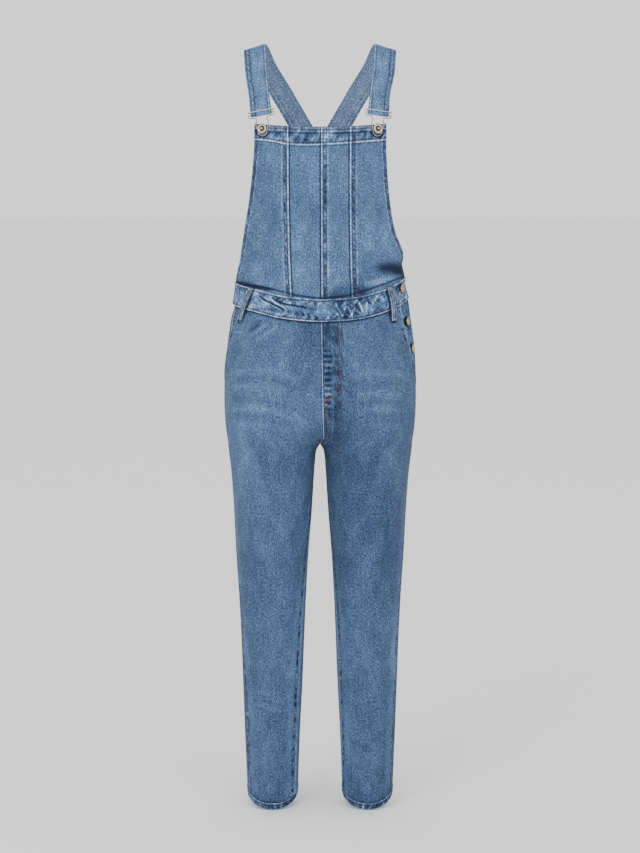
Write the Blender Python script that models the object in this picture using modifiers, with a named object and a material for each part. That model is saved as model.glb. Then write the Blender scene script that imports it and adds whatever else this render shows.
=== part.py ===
"""Denim overalls with a four-panel bib, crossed back straps and a buttoned side opening.

The garment keeps the hollow form of being worn. Lengths in this file are millimetres,
turned into metres when a mesh is made. +Z is up, +X is the wearer's left and -Y is the front.
The origin lies between the shoulders, at the height of the straps' tops.

The cloth follows one worn form. Above the crotch the form is a ring round the body,
and below it a ring round each leg. A place on it is given by a side (-1 the wearer's right,
1 the wearer's left), an angle round the ring in degrees (0 at the front, 90 at the outer
side, 180 at the back) and a height.
"""

import math

import bmesh
import bpy
from mathutils import Matrix, Vector

MM = 0.001
RIGHT, LEFT = -1, 1
SIDE_NAMES = {RIGHT: "right", LEFT: "left"}

# Cloth and clearances
GAP = 0.3
FACET_SAG = 0.45
LAP = GAP + FACET_SAG
POCKET_LAP = {RIGHT: 1.15, LEFT: 1.5}
CLOTH = 1.4
FACING_CLOTH = 1.2
BAND_CLOTH = 2.4
HEM_CLOTH = 3.0
HEM_PUFF = 0.6
TUCK = 10.0
BAND_SEAM_CLEAR = 0.17  # degrees from a side seam to each waistband's end

# Heights of the main lines
CROTCH_Z = -748.0
WAIST_TOP_Z = -442.0
WAISTBAND_HEIGHT = 41.0
WAIST_FADE = 200.0
HEM_Z = -1438.0
HEM_DROP = 22.0
HEM_HEIGHT = 13.0
HEM_FADE = 160.0

# The waistband's top edge at each angle: low at the front, higher at the wearer's left and the back
WAIST_COLUMNS = ("angle", "right", "left")
WAIST_LINE = [
    (0, -466.4, -466.4),
    (25, -460.5, -462.0),
    (45, -451.0, -452.0),
    (60, -446.0, -442.5),
    (75, -442.5, -434.0),
    (95, -439.0, -430.0),
    (130, -430.0, -427.0),
    (180, -420.0, -420.0),
]

# How the trunk ring parts into two legs above the crotch
RISE_BLEND = 150.0
RISE_POWER = 1.6

# The worn form: half-width, inner edge of a leg, front and back, at each height
SECTION_COLUMNS = ("z", "reach", "inner", "front", "back")
SECTIONS = [
    (0, 160, 0, -76, 66),
    (-60, 163, 0, -96, 80),
    (-100, 165, 0, -108, 91),
    (-146, 166, 0, -116, 99),
    (-211, 166, 0, -122, 103),
    (-283, 166, 0, -123, 102),
    (-336, 165, 0, -117, 98),
    (-378, 163, 0, -110, 95),
    (-417, 160, 0, -104, 93),
    (-445, 157, 0, -103, 94),
    (-480, 162, 0, -107, 103),
    (-520, 169, 0, -112, 116),
    (-590, 179, 0, -115, 130),
    (-660, 182, 0, -114, 134),
    (-710, 180, 0, -110, 127),
    (-748, 175, 0, -104, 116),
    (-760, 174, 7, -102, 113),
    (-800, 169, 11, -98, 106),
    (-870, 164, 15, -91, 97),
    (-960, 160, 22, -82, 89),
    (-1050, 155, 27, -73, 83),
    (-1120, 152, 30, -67, 80),
    (-1220, 149, 34, -56, 80),
    (-1320, 146, 39, -44, 78),
    (-1460, 141, 44, -31, 75),
]

# Angles of the side seams and inseams round each leg
SEAM_COLUMNS = ("z", "side_right", "side_left", "inseam_right", "inseam_left")
SEAMS = [
    (-400, 98, 90, 90, 90),
    (-640, 98, 90, 90, 90),
    (-748, 94, 88, 90, 90),
    (-900, 84, 80, 76, 80),
    (-1120, 70, 68, 60, 66),
    (-1300, 60, 66, 57, 68),
    (-1460, 60, 66, 58, 78),
]

# Bib: half-widths of its outline, and the seams between its panels
BIB_TOP_Z = -146.0
BIB_TOP_DIP = 5.5
BIB_TOP_HALF_WIDTH = 120.0
BIB_CORNER_ANGLE = 87.0
BIB_OUTLINE_COLUMNS = ("z", "right", "left")
BIB_OUTLINE = [
    (-140, 119, 121),
    (-211, 122, 122),
    (-283, 130, 128),
    (-336, 139, 137),
    (-378, 146, 151),
    (-417, 154, 157),
    (-440, 158, 158),
]
BIB_FACING_HEIGHT = 30.0
BIB_SEAMS = {
    # x at the top, lean towards the wearer's left by the waist
    "right": (-58.5, 5.0),
    "middle": (1.5, 1.0),
    "left": (54.5, 4.0),
}
BIB_LEAN_HEIGHT = 310.0
BIB_LEAN_POWER = 1.6

# Back bib
BACK_BIB_TOP_Z = -275.0
BACK_BIB_OUTLINE_COLUMNS = ("z", "half_width")
BACK_BIB_OUTLINE = [
    (-270, 64),
    (-310, 70),
    (-350, 81),
    (-385, 98),
    (-410, 120),
    (-428, 143),
    (-440, 157),
]

# Slanted front pockets
POCKET_LENGTH = 150.0
POCKET_TOP_ANGLE = {RIGHT: 76.0, LEFT: 65.5}
POCKET_CURVE = 2.2
POCKET_FOOT_LAP = 5.0
POCKET_UNDERLAP_ANGLE = 8.0
POCKET_SEAM_LAP_ANGLE = 2.0
POCKET_BULGE = 0.15  # how far the facing fills out, for each degree of its open width
POCKET_BULGE_FADE = 30.0

# Belt loops: angle at the top, angle at the bottom
LOOP_WIDTH = 12.0
LOOP_CLOTH = 1.6
LOOP_BELOW_BAND = 22.0
LOOP_TOP_INSET = 0.4
LOOP_BULGE = 1.6
LOOP_DROP_START = 0.04  # share of its length below the band where a loop starts back to the leg
LOOP_DROP_END = 0.93
LOOPS = [
    ("belt_loop_front_right", RIGHT, 52.5, 63.0),
    ("belt_loop_front_left", LEFT, 53.5, 54.5),
    ("belt_loop_back_right", RIGHT, 138.0, 138.0),
    ("belt_loop_back_left", LEFT, 134.0, 134.0),
    ("belt_loop_back_centre", LEFT, 180.0, 180.0),
]

# Straps
STRAP_WIDTH = 41.0
STRAP_CLOTH = 2.4
STRAP_CROSS_Z = -214.0
STRAP_SLOPE = 0.584
STRAP_END_LAP = 26.0
STRAP_CROSS_LIFT = 3.4
STRAP_CROSS_REACH = 52.0
STRAP_CROSS_RAMP = 21.0
STRAP_BACK_START_Z = -92.0
STRAP_BACK_STEPS = 15

# The strap over the shoulder, for the wearer's left: its middle, then how far its arm-side
# edge turns back and drops, in degrees
SHOULDER_COLUMNS = ("x", "y", "z", "turn", "drop")
SHOULDER = [
    (117.0, -66.0, -52.0, 20.0, 7.0),
    (120.0, -40.0, -22.0, 10.0, 13.0),
    (121.0, -6.0, -6.0, 0.0, 17.0),
    (113.0, 30.0, -16.0, -10.0, 22.0),
    (98.5, 60.0, -47.0, -18.0, 27.0),
]

# Buttons and buckles
BIB_BUTTON_X = 104.0
BIB_BUTTON_Z = -155.0
BUCKLE_ROLL = {RIGHT: 9.0, LEFT: 7.0}
HOOK_WIRE = 1.0
HOOK_LIFT = 1.35
HOOK_BAR_V = 27.0
SLIDER_WIRE = 0.9
SLIDER_V = 32.0
SLIDER_HALF = 26.0
SLIDER_CLEAR = 0.35
SLIDER_STRAIGHT = (12.0, 22.0)  # across, to where the wire starts to bend round the strap's edge
SLIDER_BEND = 1.2
STRAP_TURN_RADIUS = 2.7
STRAP_TURN_STEPS = 6
STRAP_TAIL = 34.0
STRAP_TAIL_REST = 18.7  # the tail leans on the strap from here, above the hook's bar
STRAP_BACK_REACH = 9.0  # the back layer stays behind the bar's level to here
STRAP_FRONT_REACH = 12.0
STRAP_FLAT_V = 65.0  # how far up the strap lies flat on its tail and the chest
# The hook's outline, one half: across, then up from the button
HOOK_OUTLINE = [
    (0, -13.5),
    (5.4, -11.6),
    (8.4, -6.5),
    (10.4, -0.5),
    (12.2, 5.0),
    (12.6, 10.5),
    (11.0, 15.5),
    (11.4, 18.8),
    (15.5, 20.9),
    (21.5, 21.5),
    (25.2, 22.6),
    (26.4, 25.0),
    (24.6, HOOK_BAR_V),
]
# Turned buttons, from the middle of the face to the foot: radius, height
BIB_BUTTON_STEPS = 16
BIB_BUTTON = [
    (0, 6.4),
    (2.2, 6.2),
    (3.4, 5.3),
    (4.8, 4.9),
    (6.4, 5.1),
    (7.6, 5.7),
    (8.9, 5.1),
    (9.4, 4.0),
    (8.9, 3.1),
    (3.2, 2.9),
    (3.2, GAP + 0.1),
    (0, GAP + 0.1),
]
SIDE_BUTTON_STEPS = 14
SIDE_BUTTON = [
    (0, 4.6),
    (3.0, 4.6),
    (4.4, 4.1),
    (6.6, 4.5),
    (7.4, 3.8),
    (7.1, 2.9),
    (2.6, 2.6),
    (2.6, GAP + 0.1),
    (0, GAP + 0.1),
]
SIDE_BUTTONS = [
    # name, angle, height
    ("waist_button", 69.8, -450.5),
    ("placket_button_upper", 73.0, -513.0),
    ("placket_button_lower", 77.0, -565.0),
]

# Largest soft folds of the cloth: where, which way they run, and how deep (minus is a trough).
# The place across a face is x on the front and back, and y on the wearer's left.
FOLD_COLUMNS = ("face", "across", "z", "angle", "length", "width", "depth")
FOLDS = [
    ("left", 0, -478, 0, 80, 24, 3.2),
    ("left", 0, -535, 0, 80, 60, 3.2),
    ("front", 128, -414, 4, 46, 13, -6.0),
    ("front", 124, -388, 8, 48, 18, 3.5),
    ("front", -118, -405, -12, 40, 16, -2.5),
    ("front", 34, -712, 62, 44, 18, -3.5),
    ("front", -36, -716, -58, 40, 18, -2.5),
    ("front", -96, -1236, 6, 34, 17, -3.0),
    ("front", -92, -1272, -8, 32, 17, 2.5),
    ("front", 78, -1352, -28, 30, 17, -3.0),
    ("front", 112, -1330, 38, 32, 17, -3.0),
    ("front", 92, -1100, 10, 36, 22, 2.5),
    ("back", -84, -770, -18, 52, 18, -4.0),
    ("back", 84, -768, 18, 52, 18, -4.0),
    ("back", -90, -1085, 10, 40, 17, -4.0),
    ("back", -94, -1126, -6, 40, 17, 3.5),
    ("back", 92, -1092, -8, 40, 17, -4.0),
    ("back", 90, -1134, 8, 40, 17, 3.5),
    ("back", -94, -1290, 12, 34, 17, -3.0),
    ("back", 96, -1300, -12, 34, 17, -3.0),
]

FOLD_FACING = 2.5  # how quickly a fold fades out where the cloth turns away from its face

DENIM = ("denim", (0.16, 0.28, 0.46), 0.9, 0.0)
DENIM_INSIDE = ("denim_inside", (0.42, 0.52, 0.64), 0.9, 0.0)
METAL = ("hardware_metal", (0.62, 0.57, 0.48), 0.35, 1.0)


def smooth(table, columns, name, at):
    """A column of a table, read between its rows on a smooth curve."""
    key = columns.index(name)
    rows = sorted(table)
    if at <= rows[0][0]:
        return float(rows[0][key])
    if at >= rows[-1][0]:
        return float(rows[-1][key])
    i = max(k for k in range(len(rows) - 1) if rows[k][0] <= at)

    def slope(k):
        low, high = max(k - 1, 0), min(k + 1, len(rows) - 1)
        return (rows[high][key] - rows[low][key]) / (rows[high][0] - rows[low][0])

    span = rows[i + 1][0] - rows[i][0]
    t = (at - rows[i][0]) / span
    start, end = rows[i][key], rows[i + 1][key]
    return (
        start * (2 * t**3 - 3 * t**2 + 1)
        + end * (3 * t**2 - 2 * t**3)
        + slope(i) * span * (t**3 - 2 * t**2 + t)
        + slope(i + 1) * span * (t**3 - t**2)
    )


def ease(t):
    """0 to 1, with no slope at either end."""
    t = min(max(t, 0.0), 1.0)
    return t * t * (3 - 2 * t)


def mix(a, b, t):
    return a + (b - a) * t


def section(z):
    """The form's ring at a height: a leg's middle in x, its half-width, its middle in y, its half-depth."""
    reach, inner, front, back = (smooth(SECTIONS, SECTION_COLUMNS, n, z) for n in SECTION_COLUMNS[1:])
    if z >= CROTCH_Z:
        parting = (1 - min(1.0, (z - CROTCH_Z) / RISE_BLEND)) ** RISE_POWER
        half = reach / (1 + parting)
        middle = half * parting
    else:
        half = (reach - inner) / 2
        middle = (reach + inner) / 2
    return middle, half, (front + back) / 2, (back - front) / 2


def bare_form(side, angle, z):
    middle, half, depth_middle, depth_half = section(z)
    turn = math.radians(angle)
    return Vector(
        (side * (middle + half * math.sin(turn)), depth_middle - depth_half * math.cos(turn), z)
    )


def outward(side, angle, z):
    """The form's outward direction."""
    round_it = bare_form(side, angle + 1, z) - bare_form(side, angle - 1, z)
    down = bare_form(side, angle, z - 1) - bare_form(side, angle, z + 1)
    return (down.cross(round_it) * side).normalized()


def folds_at(side, point, angle):
    """How far the soft folds move the cloth out at this place."""
    turn = math.radians(angle)
    facing = {"front": math.cos(turn), "back": -math.cos(turn), "left": side * math.sin(turn)}
    moved = 0.0
    for face, middle, z, tilt, length, width, depth in FOLDS:
        share = ease(FOLD_FACING * facing[face])
        place = (point.y if face == "left" else point.x) - middle
        c, s = math.cos(math.radians(tilt)), math.sin(math.radians(tilt))
        along = place * c + (point.z - z) * s
        across = (point.z - z) * c - place * s
        moved += share * depth * math.exp(-((along / length) ** 2) - (across / width) ** 2)
    return moved


def form(side, angle, z, out=0.0):
    """A point of the cloth, moved out from the form's surface."""
    point = bare_form(side, angle, z)
    return point + outward(side, angle, z) * (out + folds_at(side, point, angle))


def waist_z(side, angle):
    """Height of the waistband's top edge."""
    return smooth(WAIST_LINE, WAIST_COLUMNS, SIDE_NAMES[side], abs(angle))


def hem_z(angle):
    return HEM_Z - HEM_DROP * math.cos(math.radians(angle))


def side_seam(side, z):
    return smooth(SEAMS, SEAM_COLUMNS, "side_" + SIDE_NAMES[side], z)


def inner_angle(side, z, front, clear):
    """Where a panel ends inside: at the middle seam above the crotch, at the inseam below it."""
    middle, half, _, _ = section(z)
    if z >= CROTCH_Z:
        inside = math.degrees(math.asin(max(-1.0, min(1.0, (clear - middle) / half))))
        return inside if front else 180 - inside
    inseam = smooth(SEAMS, SEAM_COLUMNS, "inseam_" + SIDE_NAMES[side], z)
    shift = math.degrees(clear / half)
    return -inseam + shift if front else 360 - inseam - shift


def pocket_edge(side, z):
    """The front panel's outer edge: the slanted pocket mouth, then the side seam."""
    top = waist_z(side, POCKET_TOP_ANGLE[side]) - WAISTBAND_HEIGHT
    down = min(max((top - z) / POCKET_LENGTH, 0.0), 1.0)
    return mix(POCKET_TOP_ANGLE[side], side_seam(side, z), down**POCKET_CURVE)


def facing_lift(side, angle, z):
    """How far a pocket's facing lies from the form: under the panels, and filled out in the mouth."""
    start, end = pocket_edge(side, z), side_seam(side, z)
    share = min(max((angle - start) / max(end - start, 0.01), 0.0), 1.0)
    below_band = ease((waist_z(side, angle) - WAISTBAND_HEIGHT - z) / POCKET_BULGE_FADE)
    bulge = POCKET_BULGE * (end - start) * math.sin(math.pi * share) ** 2
    return bulge * below_band - CLOTH - POCKET_LAP[side]


# Meshes


def material(spec):
    name, colour, roughness, metallic = spec
    made = bpy.data.materials.get(name)
    if made:
        return made
    made = bpy.data.materials.new(name)
    made.use_nodes = True
    shader = made.node_tree.nodes["Principled BSDF"]
    shader.inputs["Base Color"].default_value = (*colour, 1)
    shader.inputs["Roughness"].default_value = roughness
    shader.inputs["Metallic"].default_value = metallic
    return made


def sheet(name, grid, thickness, spec, offset=-1.0, ring=False):
    """A cloth wall: a surface through rows of points, top row first, given a thickness."""
    mesh = bpy.data.meshes.new(name)
    work = bmesh.new()
    rows = [[work.verts.new(p * MM) for p in row] for row in grid]
    for upper, lower in zip(rows, rows[1:]):
        count = len(upper)
        for k in range(count if ring else count - 1):
            n = (k + 1) % count
            work.faces.new((upper[k], lower[k], lower[n], upper[n]))
    work.to_mesh(mesh)
    work.free()
    mesh.materials.append(material(spec))
    mesh.shade_smooth()
    made = bpy.data.objects.new(name, mesh)
    collection.objects.link(made)
    wall = made.modifiers.new("Cloth", "SOLIDIFY")
    wall.thickness = thickness * MM
    wall.offset = offset
    wall.use_even_offset = True
    return made


def wire(name, points, radius, spec):
    """A closed ring of bent wire through points."""
    curve = bpy.data.curves.new(name, "CURVE")
    curve.dimensions = "3D"
    curve.bevel_depth = radius * MM
    curve.bevel_resolution = 2
    spline = curve.splines.new("POLY")
    spline.points.add(len(points) - 1)
    for place, p in zip(spline.points, points):
        place.co = (*(p * MM), 1)
    spline.use_cyclic_u = True
    curve.materials.append(material(spec))
    made = bpy.data.objects.new(name, curve)
    collection.objects.link(made)
    return made


def turned(name, profile, frame, spec, steps):
    """A round piece turned from a profile of (radius, height), top first, standing on frame's axis."""
    mesh = bpy.data.meshes.new(name)
    work = bmesh.new()
    verts = [work.verts.new((r * MM, 0, h * MM)) for r, h in profile]
    for a, b in zip(verts, verts[1:]):
        work.edges.new((a, b))
    work.to_mesh(mesh)
    work.free()
    mesh.materials.append(material(spec))
    made = bpy.data.objects.new(name, mesh)
    collection.objects.link(made)
    screw = made.modifiers.new("Turn", "SCREW")
    screw.axis = "Z"
    screw.angle = math.tau
    screw.steps = screw.render_steps = steps
    screw.use_merge_vertices = True
    screw.merge_threshold = 0.00002
    made.matrix_world = frame
    return made


def smooth_route(points, closed, steps):
    """A Catmull-Rom curve through points."""
    count = len(points)
    route = []
    for k in range(count if closed else count - 1):
        at = [(k + d) % count if closed else min(max(k + d, 0), count - 1) for d in (-1, 0, 1, 2)]
        p0, p1, p2, p3 = (points[i] for i in at)
        for step in range(steps):
            t = step / steps
            route.append(
                0.5 * (2 * p1 + (p2 - p0) * t + (2 * p0 - 5 * p1 + 4 * p2 - p3) * t**2
                       + (3 * p1 - p0 - 3 * p2 + p3) * t**3)
            )
    if not closed:
        route.append(points[-1].copy())
    return route


# Legs


def leg_levels():
    """Heights of a leg panel's rows, closest together at the crotch."""
    top = WAIST_TOP_Z - WAISTBAND_HEIGHT + TUCK
    bottom = HEM_Z + HEM_HEIGHT + LAP
    above, below = 12, 23
    upper = [mix(top, CROTCH_Z, 1 - (1 - k / above) ** 1.4) for k in range(above)]
    lower = [mix(CROTCH_Z, bottom, (k / below) ** 1.15) for k in range(below + 1)]
    return upper + lower


def leg_height(side, level, angle):
    """A row's height at one column: it follows the waist's and the hem's slant near them."""
    top = WAIST_TOP_Z - WAISTBAND_HEIGHT
    at_waist = 1 - ease((top - level) / WAIST_FADE)
    at_hem = 1 - ease((level - HEM_Z - HEM_HEIGHT) / HEM_FADE)
    slant = waist_z(side, angle) - WAIST_TOP_Z
    droop = hem_z(angle) - HEM_Z
    return level + at_waist * slant + at_hem * droop


def leg_panel(side, front, columns=12):
    grid = []
    for level in leg_levels():
        row = []
        for k in range(columns + 1):
            t = k / columns
            roughly = mix(inner_angle(side, level, front, 0), side_seam(side, level), t)
            z = leg_height(side, level, roughly)
            outer = pocket_edge(side, z) if front else side_seam(side, z)
            facet = abs(outer - inner_angle(side, z, front, 0)) / columns
            edge_clear = GAP / 2 + CLOTH * math.sin(math.radians(facet / 2))
            inner = inner_angle(side, z, front, edge_clear)
            clear = math.degrees(edge_clear / min(section(z)[1:4:2]))
            angle = mix(inner, outer - clear if front else outer + clear, t)
            row.append(form(side, angle, z))
        grid.append(row if front == (side == LEFT) else row[::-1])
    name = ("front_leg_" if front else "back_leg_") + SIDE_NAMES[side]
    sheet(name, grid, CLOTH, DENIM)


def pocket_facing(side):
    """The cloth that shows in the pocket mouth. The wearer's left one carries the side buttons."""
    top = WAISTBAND_HEIGHT - TUCK + GAP
    rows, columns = 14, 5
    grid = []
    for k in range(rows + 1):
        row = []
        for c in range(columns + 1):
            z = waist_z(side, POCKET_TOP_ANGLE[side]) - top - k / rows * (POCKET_LENGTH + POCKET_FOOT_LAP)
            start = pocket_edge(side, z) - POCKET_UNDERLAP_ANGLE
            end = side_seam(side, z) + POCKET_SEAM_LAP_ANGLE
            angle = mix(start, end, c / columns)
            row.append(form(side, angle, z, facing_lift(side, angle, z)))
        grid.append(row if side == LEFT else row[::-1])
    name = "button_placket" if side == LEFT else "pocket_facing_right"
    sheet(name, grid, FACING_CLOTH, DENIM)


def hem(side):
    around = 26
    grid = []
    for k in range(3):
        row = []
        for c in range(around):
            angle = c / around * 360
            z = hem_z(angle) + HEM_HEIGHT * (1 - k / 2)
            row.append(form(side, angle, z, HEM_PUFF))
        grid.append(row if side == LEFT else row[::-1])
    sheet("hem_" + SIDE_NAMES[side], grid, HEM_CLOTH, DENIM, ring=True)


# Waist


def on_ring(turn):
    """Side and angle for a turn round the whole body: 0 front, 90 the wearer's left, 180 back."""
    turn = (turn + 180) % 360 - 180
    return (LEFT if turn >= 0 else RIGHT), abs(turn)


def waistband(name, start, end, columns=30, rows=3):
    grid = []
    for k in range(rows + 1):
        row = []
        for c in range(columns + 1):
            side, angle = on_ring(mix(start, end, c / columns))
            z = waist_z(side, angle) - k / rows * WAISTBAND_HEIGHT
            row.append(form(side, angle, z, LAP + BAND_CLOTH))
        grid.append(row)
    sheet(name, grid, BAND_CLOTH, DENIM)


def degrees_across(width, angle, z):
    """The angle that a short width takes up round the ring."""
    _, half, _, depth_half = section(z)
    turn = math.radians(angle)
    return math.degrees(width / math.hypot(half * math.cos(turn), depth_half * math.sin(turn)))


def loop_lift(share, edge_share):
    """Height of a belt loop's inner face over the form, from its top tack to its bottom tack."""
    over_band = 2 * LAP + BAND_CLOTH + LOOP_BULGE * math.sin(math.pi * min(share / edge_share, 1.0))
    down = (share - edge_share - LOOP_DROP_START) / (LOOP_DROP_END - edge_share)
    return mix(over_band, LAP, ease(down))


def belt_loop(name, side, top_angle, bottom_angle):
    length = WAISTBAND_HEIGHT + LOOP_BELOW_BAND
    edge_share = WAISTBAND_HEIGHT / length
    rows, columns = 14, 2
    grid = []
    for k in range(rows + 1):
        share = k / rows
        angle = mix(top_angle, bottom_angle, share)
        z = waist_z(side, angle) - LOOP_TOP_INSET - share * length
        across = degrees_across(LOOP_WIDTH / 2, angle, z)
        row = []
        for c in range(columns + 1):
            spread = mix(-across, across, c / columns)
            row.append(form(side, angle + spread, z, loop_lift(share, edge_share) + LOOP_CLOTH))
        grid.append(row if side == LEFT else row[::-1])
    sheet(name, grid, LOOP_CLOTH, DENIM)


# Bib


def turn_of_x(x, z):
    """The turn round the ring, in degrees, where the form's front reaches this x."""
    reach = section(z)[1]
    return math.degrees(math.asin(max(-1.0, min(1.0, x / reach))))


def bib_edge(side, z):
    """Turn of the bib's outline at a height, minus on the wearer's right."""
    half_width = smooth(BIB_OUTLINE, BIB_OUTLINE_COLUMNS, SIDE_NAMES[side], z)
    return side * min(BIB_CORNER_ANGLE, abs(turn_of_x(half_width, z)))


def bib_top(x):
    return BIB_TOP_Z - BIB_TOP_DIP * (1 - (x / BIB_TOP_HALF_WIDTH) ** 2)


def bib_panel(name, start, end, columns, rows=14):
    """A bib panel between two edges, each a function of height that gives a turn."""
    grid = []
    for k in range(rows + 1):
        row = []
        for c in range(columns + 1):
            share = k / rows
            t = c / columns
            guess = mix(BIB_TOP_Z, WAIST_TOP_Z - TUCK, share)
            for _ in range(4):
                turn = mix(start(guess), end(guess), t)
                side, angle = on_ring(turn)
                x = section(guess)[1] * math.sin(math.radians(turn))
                guess = mix(bib_top(x), waist_z(side, angle) - TUCK, share)
            row.append(form(side, angle, guess))
        grid.append(row)
    sheet(name, grid, CLOTH, DENIM)


def bib_seam(which, clear):
    """A seam of the bib, as a function of height, a little to one side of its own line."""
    top_x, lean = BIB_SEAMS[which]

    def turn(z):
        down = min(max((BIB_TOP_Z - z) / BIB_LEAN_HEIGHT, 0.0), 1.0)
        return turn_of_x(top_x + lean * down**BIB_LEAN_POWER + clear, z)

    return turn


def bib():
    clear = GAP / 2
    bib_panel("bib_side_right", lambda z: bib_edge(RIGHT, z), bib_seam("right", -clear), 5)
    bib_panel("bib_middle_right", bib_seam("right", clear), bib_seam("middle", -clear), 4)
    bib_panel("bib_middle_left", bib_seam("middle", clear), bib_seam("left", -clear), 4)
    bib_panel("bib_side_left", bib_seam("left", clear), lambda z: bib_edge(LEFT, z), 5)


def bib_facing(columns=18, rows=2):
    """The turned-in top of the bib, on its inside."""
    grid = []
    for k in range(rows + 1):
        row = []
        for c in range(columns + 1):
            z = BIB_TOP_Z - k / rows * BIB_FACING_HEIGHT
            turn = mix(bib_edge(RIGHT, z), bib_edge(LEFT, z), c / columns)
            x = section(z)[1] * math.sin(math.radians(turn))
            side, angle = on_ring(turn)
            row.append(form(side, angle, z - BIB_TOP_Z + bib_top(x), -CLOTH - LAP))
        grid.append(row)
    sheet("bib_top_facing", grid, FACING_CLOTH, DENIM_INSIDE)


def back_bib(columns=16, rows=10):
    grid = []
    for k in range(rows + 1):
        row = []
        for c in range(columns + 1):
            share = k / rows
            guess = mix(BACK_BIB_TOP_Z, WAIST_TOP_Z, share)
            for _ in range(4):
                half_width = smooth(BACK_BIB_OUTLINE, BACK_BIB_OUTLINE_COLUMNS, "half_width", guess)
                edge = min(BIB_CORNER_ANGLE, turn_of_x(half_width, guess))
                turn = 180 + mix(-edge, edge, c / columns)
                side, angle = on_ring(turn)
                guess = mix(BACK_BIB_TOP_Z, waist_z(side, angle) - TUCK, share)
            row.append(form(side, angle, guess))
        grid.append(row)
    sheet("back_bib", grid, CLOTH, DENIM)


# Straps and buckles


def buckle_frame(side):
    """Axes at a bib button: across towards the wearer's left, up along the strap, and outwards."""
    angle = turn_of_x(BIB_BUTTON_X, BIB_BUTTON_Z)
    place = form(side, angle, BIB_BUTTON_Z)
    out = outward(side, angle, BIB_BUTTON_Z)
    up = (Vector((0, 0, 1)) - out * out.z).normalized()
    roll = Matrix.Rotation(-side * math.radians(BUCKLE_ROLL[side]), 3, out)
    up = (roll @ up).normalized()
    if (up.x * side) < 0:
        up = (roll.inverted() @ roll.inverted() @ up).normalized()
    across = up.cross(out).normalized()
    return Matrix(
        ((across.x, up.x, out.x, place.x), (across.y, up.y, out.y, place.y),
         (across.z, up.z, out.z, place.z), (0, 0, 0, 1))
    )


def strap_loop(side):
    """The strap's tail, its turn round the hook's bar and its flat front, as pairs of edges."""
    front = HOOK_LIFT + STRAP_TURN_RADIUS
    back = HOOK_LIFT - STRAP_TURN_RADIUS
    route = [
        (HOOK_BAR_V + STRAP_TAIL, front - STRAP_CLOTH - 2 * GAP),
        (HOOK_BAR_V + STRAP_TAIL_REST, front - STRAP_CLOTH - 3 * GAP),
        (HOOK_BAR_V + STRAP_BACK_REACH, back),
    ]
    for k in range(STRAP_TURN_STEPS + 1):
        turn = math.pi * k / STRAP_TURN_STEPS
        up = HOOK_BAR_V - STRAP_TURN_RADIUS * math.sin(turn)
        route.append((up, HOOK_LIFT - STRAP_TURN_RADIUS * math.cos(turn)))
    route += [(HOOK_BAR_V + STRAP_FRONT_REACH, front), (STRAP_FLAT_V, front)]
    frame = buckle_frame(side)
    neck, arm = -side * STRAP_WIDTH / 2, side * STRAP_WIDTH / 2
    return [(frame @ Vector((neck, v, n)), frame @ Vector((arm, v, n))) for v, n in route]


def strap_shoulder(side):
    """The strap's edges over the shoulder."""
    half = STRAP_WIDTH / 2
    stations = []
    middles = [Vector((side * x, y, z)) for x, y, z, _, _ in SHOULDER]
    for k, (_, _, _, turn, drop) in enumerate(SHOULDER):
        ahead = middles[min(k + 1, len(middles) - 1)] - middles[max(k - 1, 0)]
        c, s = math.cos(math.radians(drop)), math.sin(math.radians(drop))
        yaw = math.radians(turn)
        arm = Vector((side * c * math.cos(yaw), c * math.sin(yaw), -s))
        arm = (arm - ahead * (arm.dot(ahead) / ahead.length_squared)).normalized()
        stations.append((middles[k] - arm * half, middles[k] + arm * half))
    return stations


def strap_back(side):
    """The strap's edges down the back, across the other strap, to its end inside the back bib."""
    half = STRAP_WIDTH / 2
    stations = []
    end = BACK_BIB_TOP_Z - STRAP_END_LAP
    tilt = math.atan(STRAP_SLOPE)
    for k in range(STRAP_BACK_STEPS + 1):
        z = mix(STRAP_BACK_START_Z, end, k / STRAP_BACK_STEPS)
        x = side * STRAP_SLOPE * (z - STRAP_CROSS_Z)
        lap = ease((STRAP_CROSS_REACH - abs(z - STRAP_CROSS_Z)) / STRAP_CROSS_RAMP)
        out = -CLOTH - LAP - STRAP_CLOTH / 2 + (STRAP_CROSS_LIFT * lap if side == LEFT else 0)
        edges = []
        for reach in (-half, half):
            edge_x = x + side * reach * math.cos(tilt)
            edge_z = z - reach * math.sin(tilt)
            turn = 180 - turn_of_x(edge_x, edge_z)
            ring_side, angle = on_ring(turn)
            edges.append(form(ring_side, angle, edge_z, out))
        stations.append(tuple(edges))
    return stations


def strap(side):
    loop, back = strap_loop(side), strap_back(side)
    over = loop[-2:] + strap_shoulder(side) + back[:1]
    neck, arm = (
        [s[edge] for s in loop[:-2]]
        + smooth_route([s[edge] for s in over], False, 2)
        + [s[edge] for s in back[1:]]
        for edge in (0, 1)
    )
    columns = 3
    grid = [[mix(a, b, c / columns) for c in range(columns + 1)] for a, b in zip(neck, arm)]
    sheet("strap_" + SIDE_NAMES[side], grid, STRAP_CLOTH, DENIM, offset=0.0)


def hook(side):
    """The bent-wire hook: a teardrop loop round the button, and a bar inside the strap's fold."""
    route = HOOK_OUTLINE + [(0, HOOK_BAR_V)] + [(-u, v) for u, v in HOOK_OUTLINE[:0:-1]]
    points = [Vector((u, v, HOOK_LIFT)) for u, v in route]
    frame = buckle_frame(side)
    wire("hook_" + SIDE_NAMES[side], [frame @ p for p in smooth_route(points, True, 2)], HOOK_WIRE, METAL)


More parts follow.
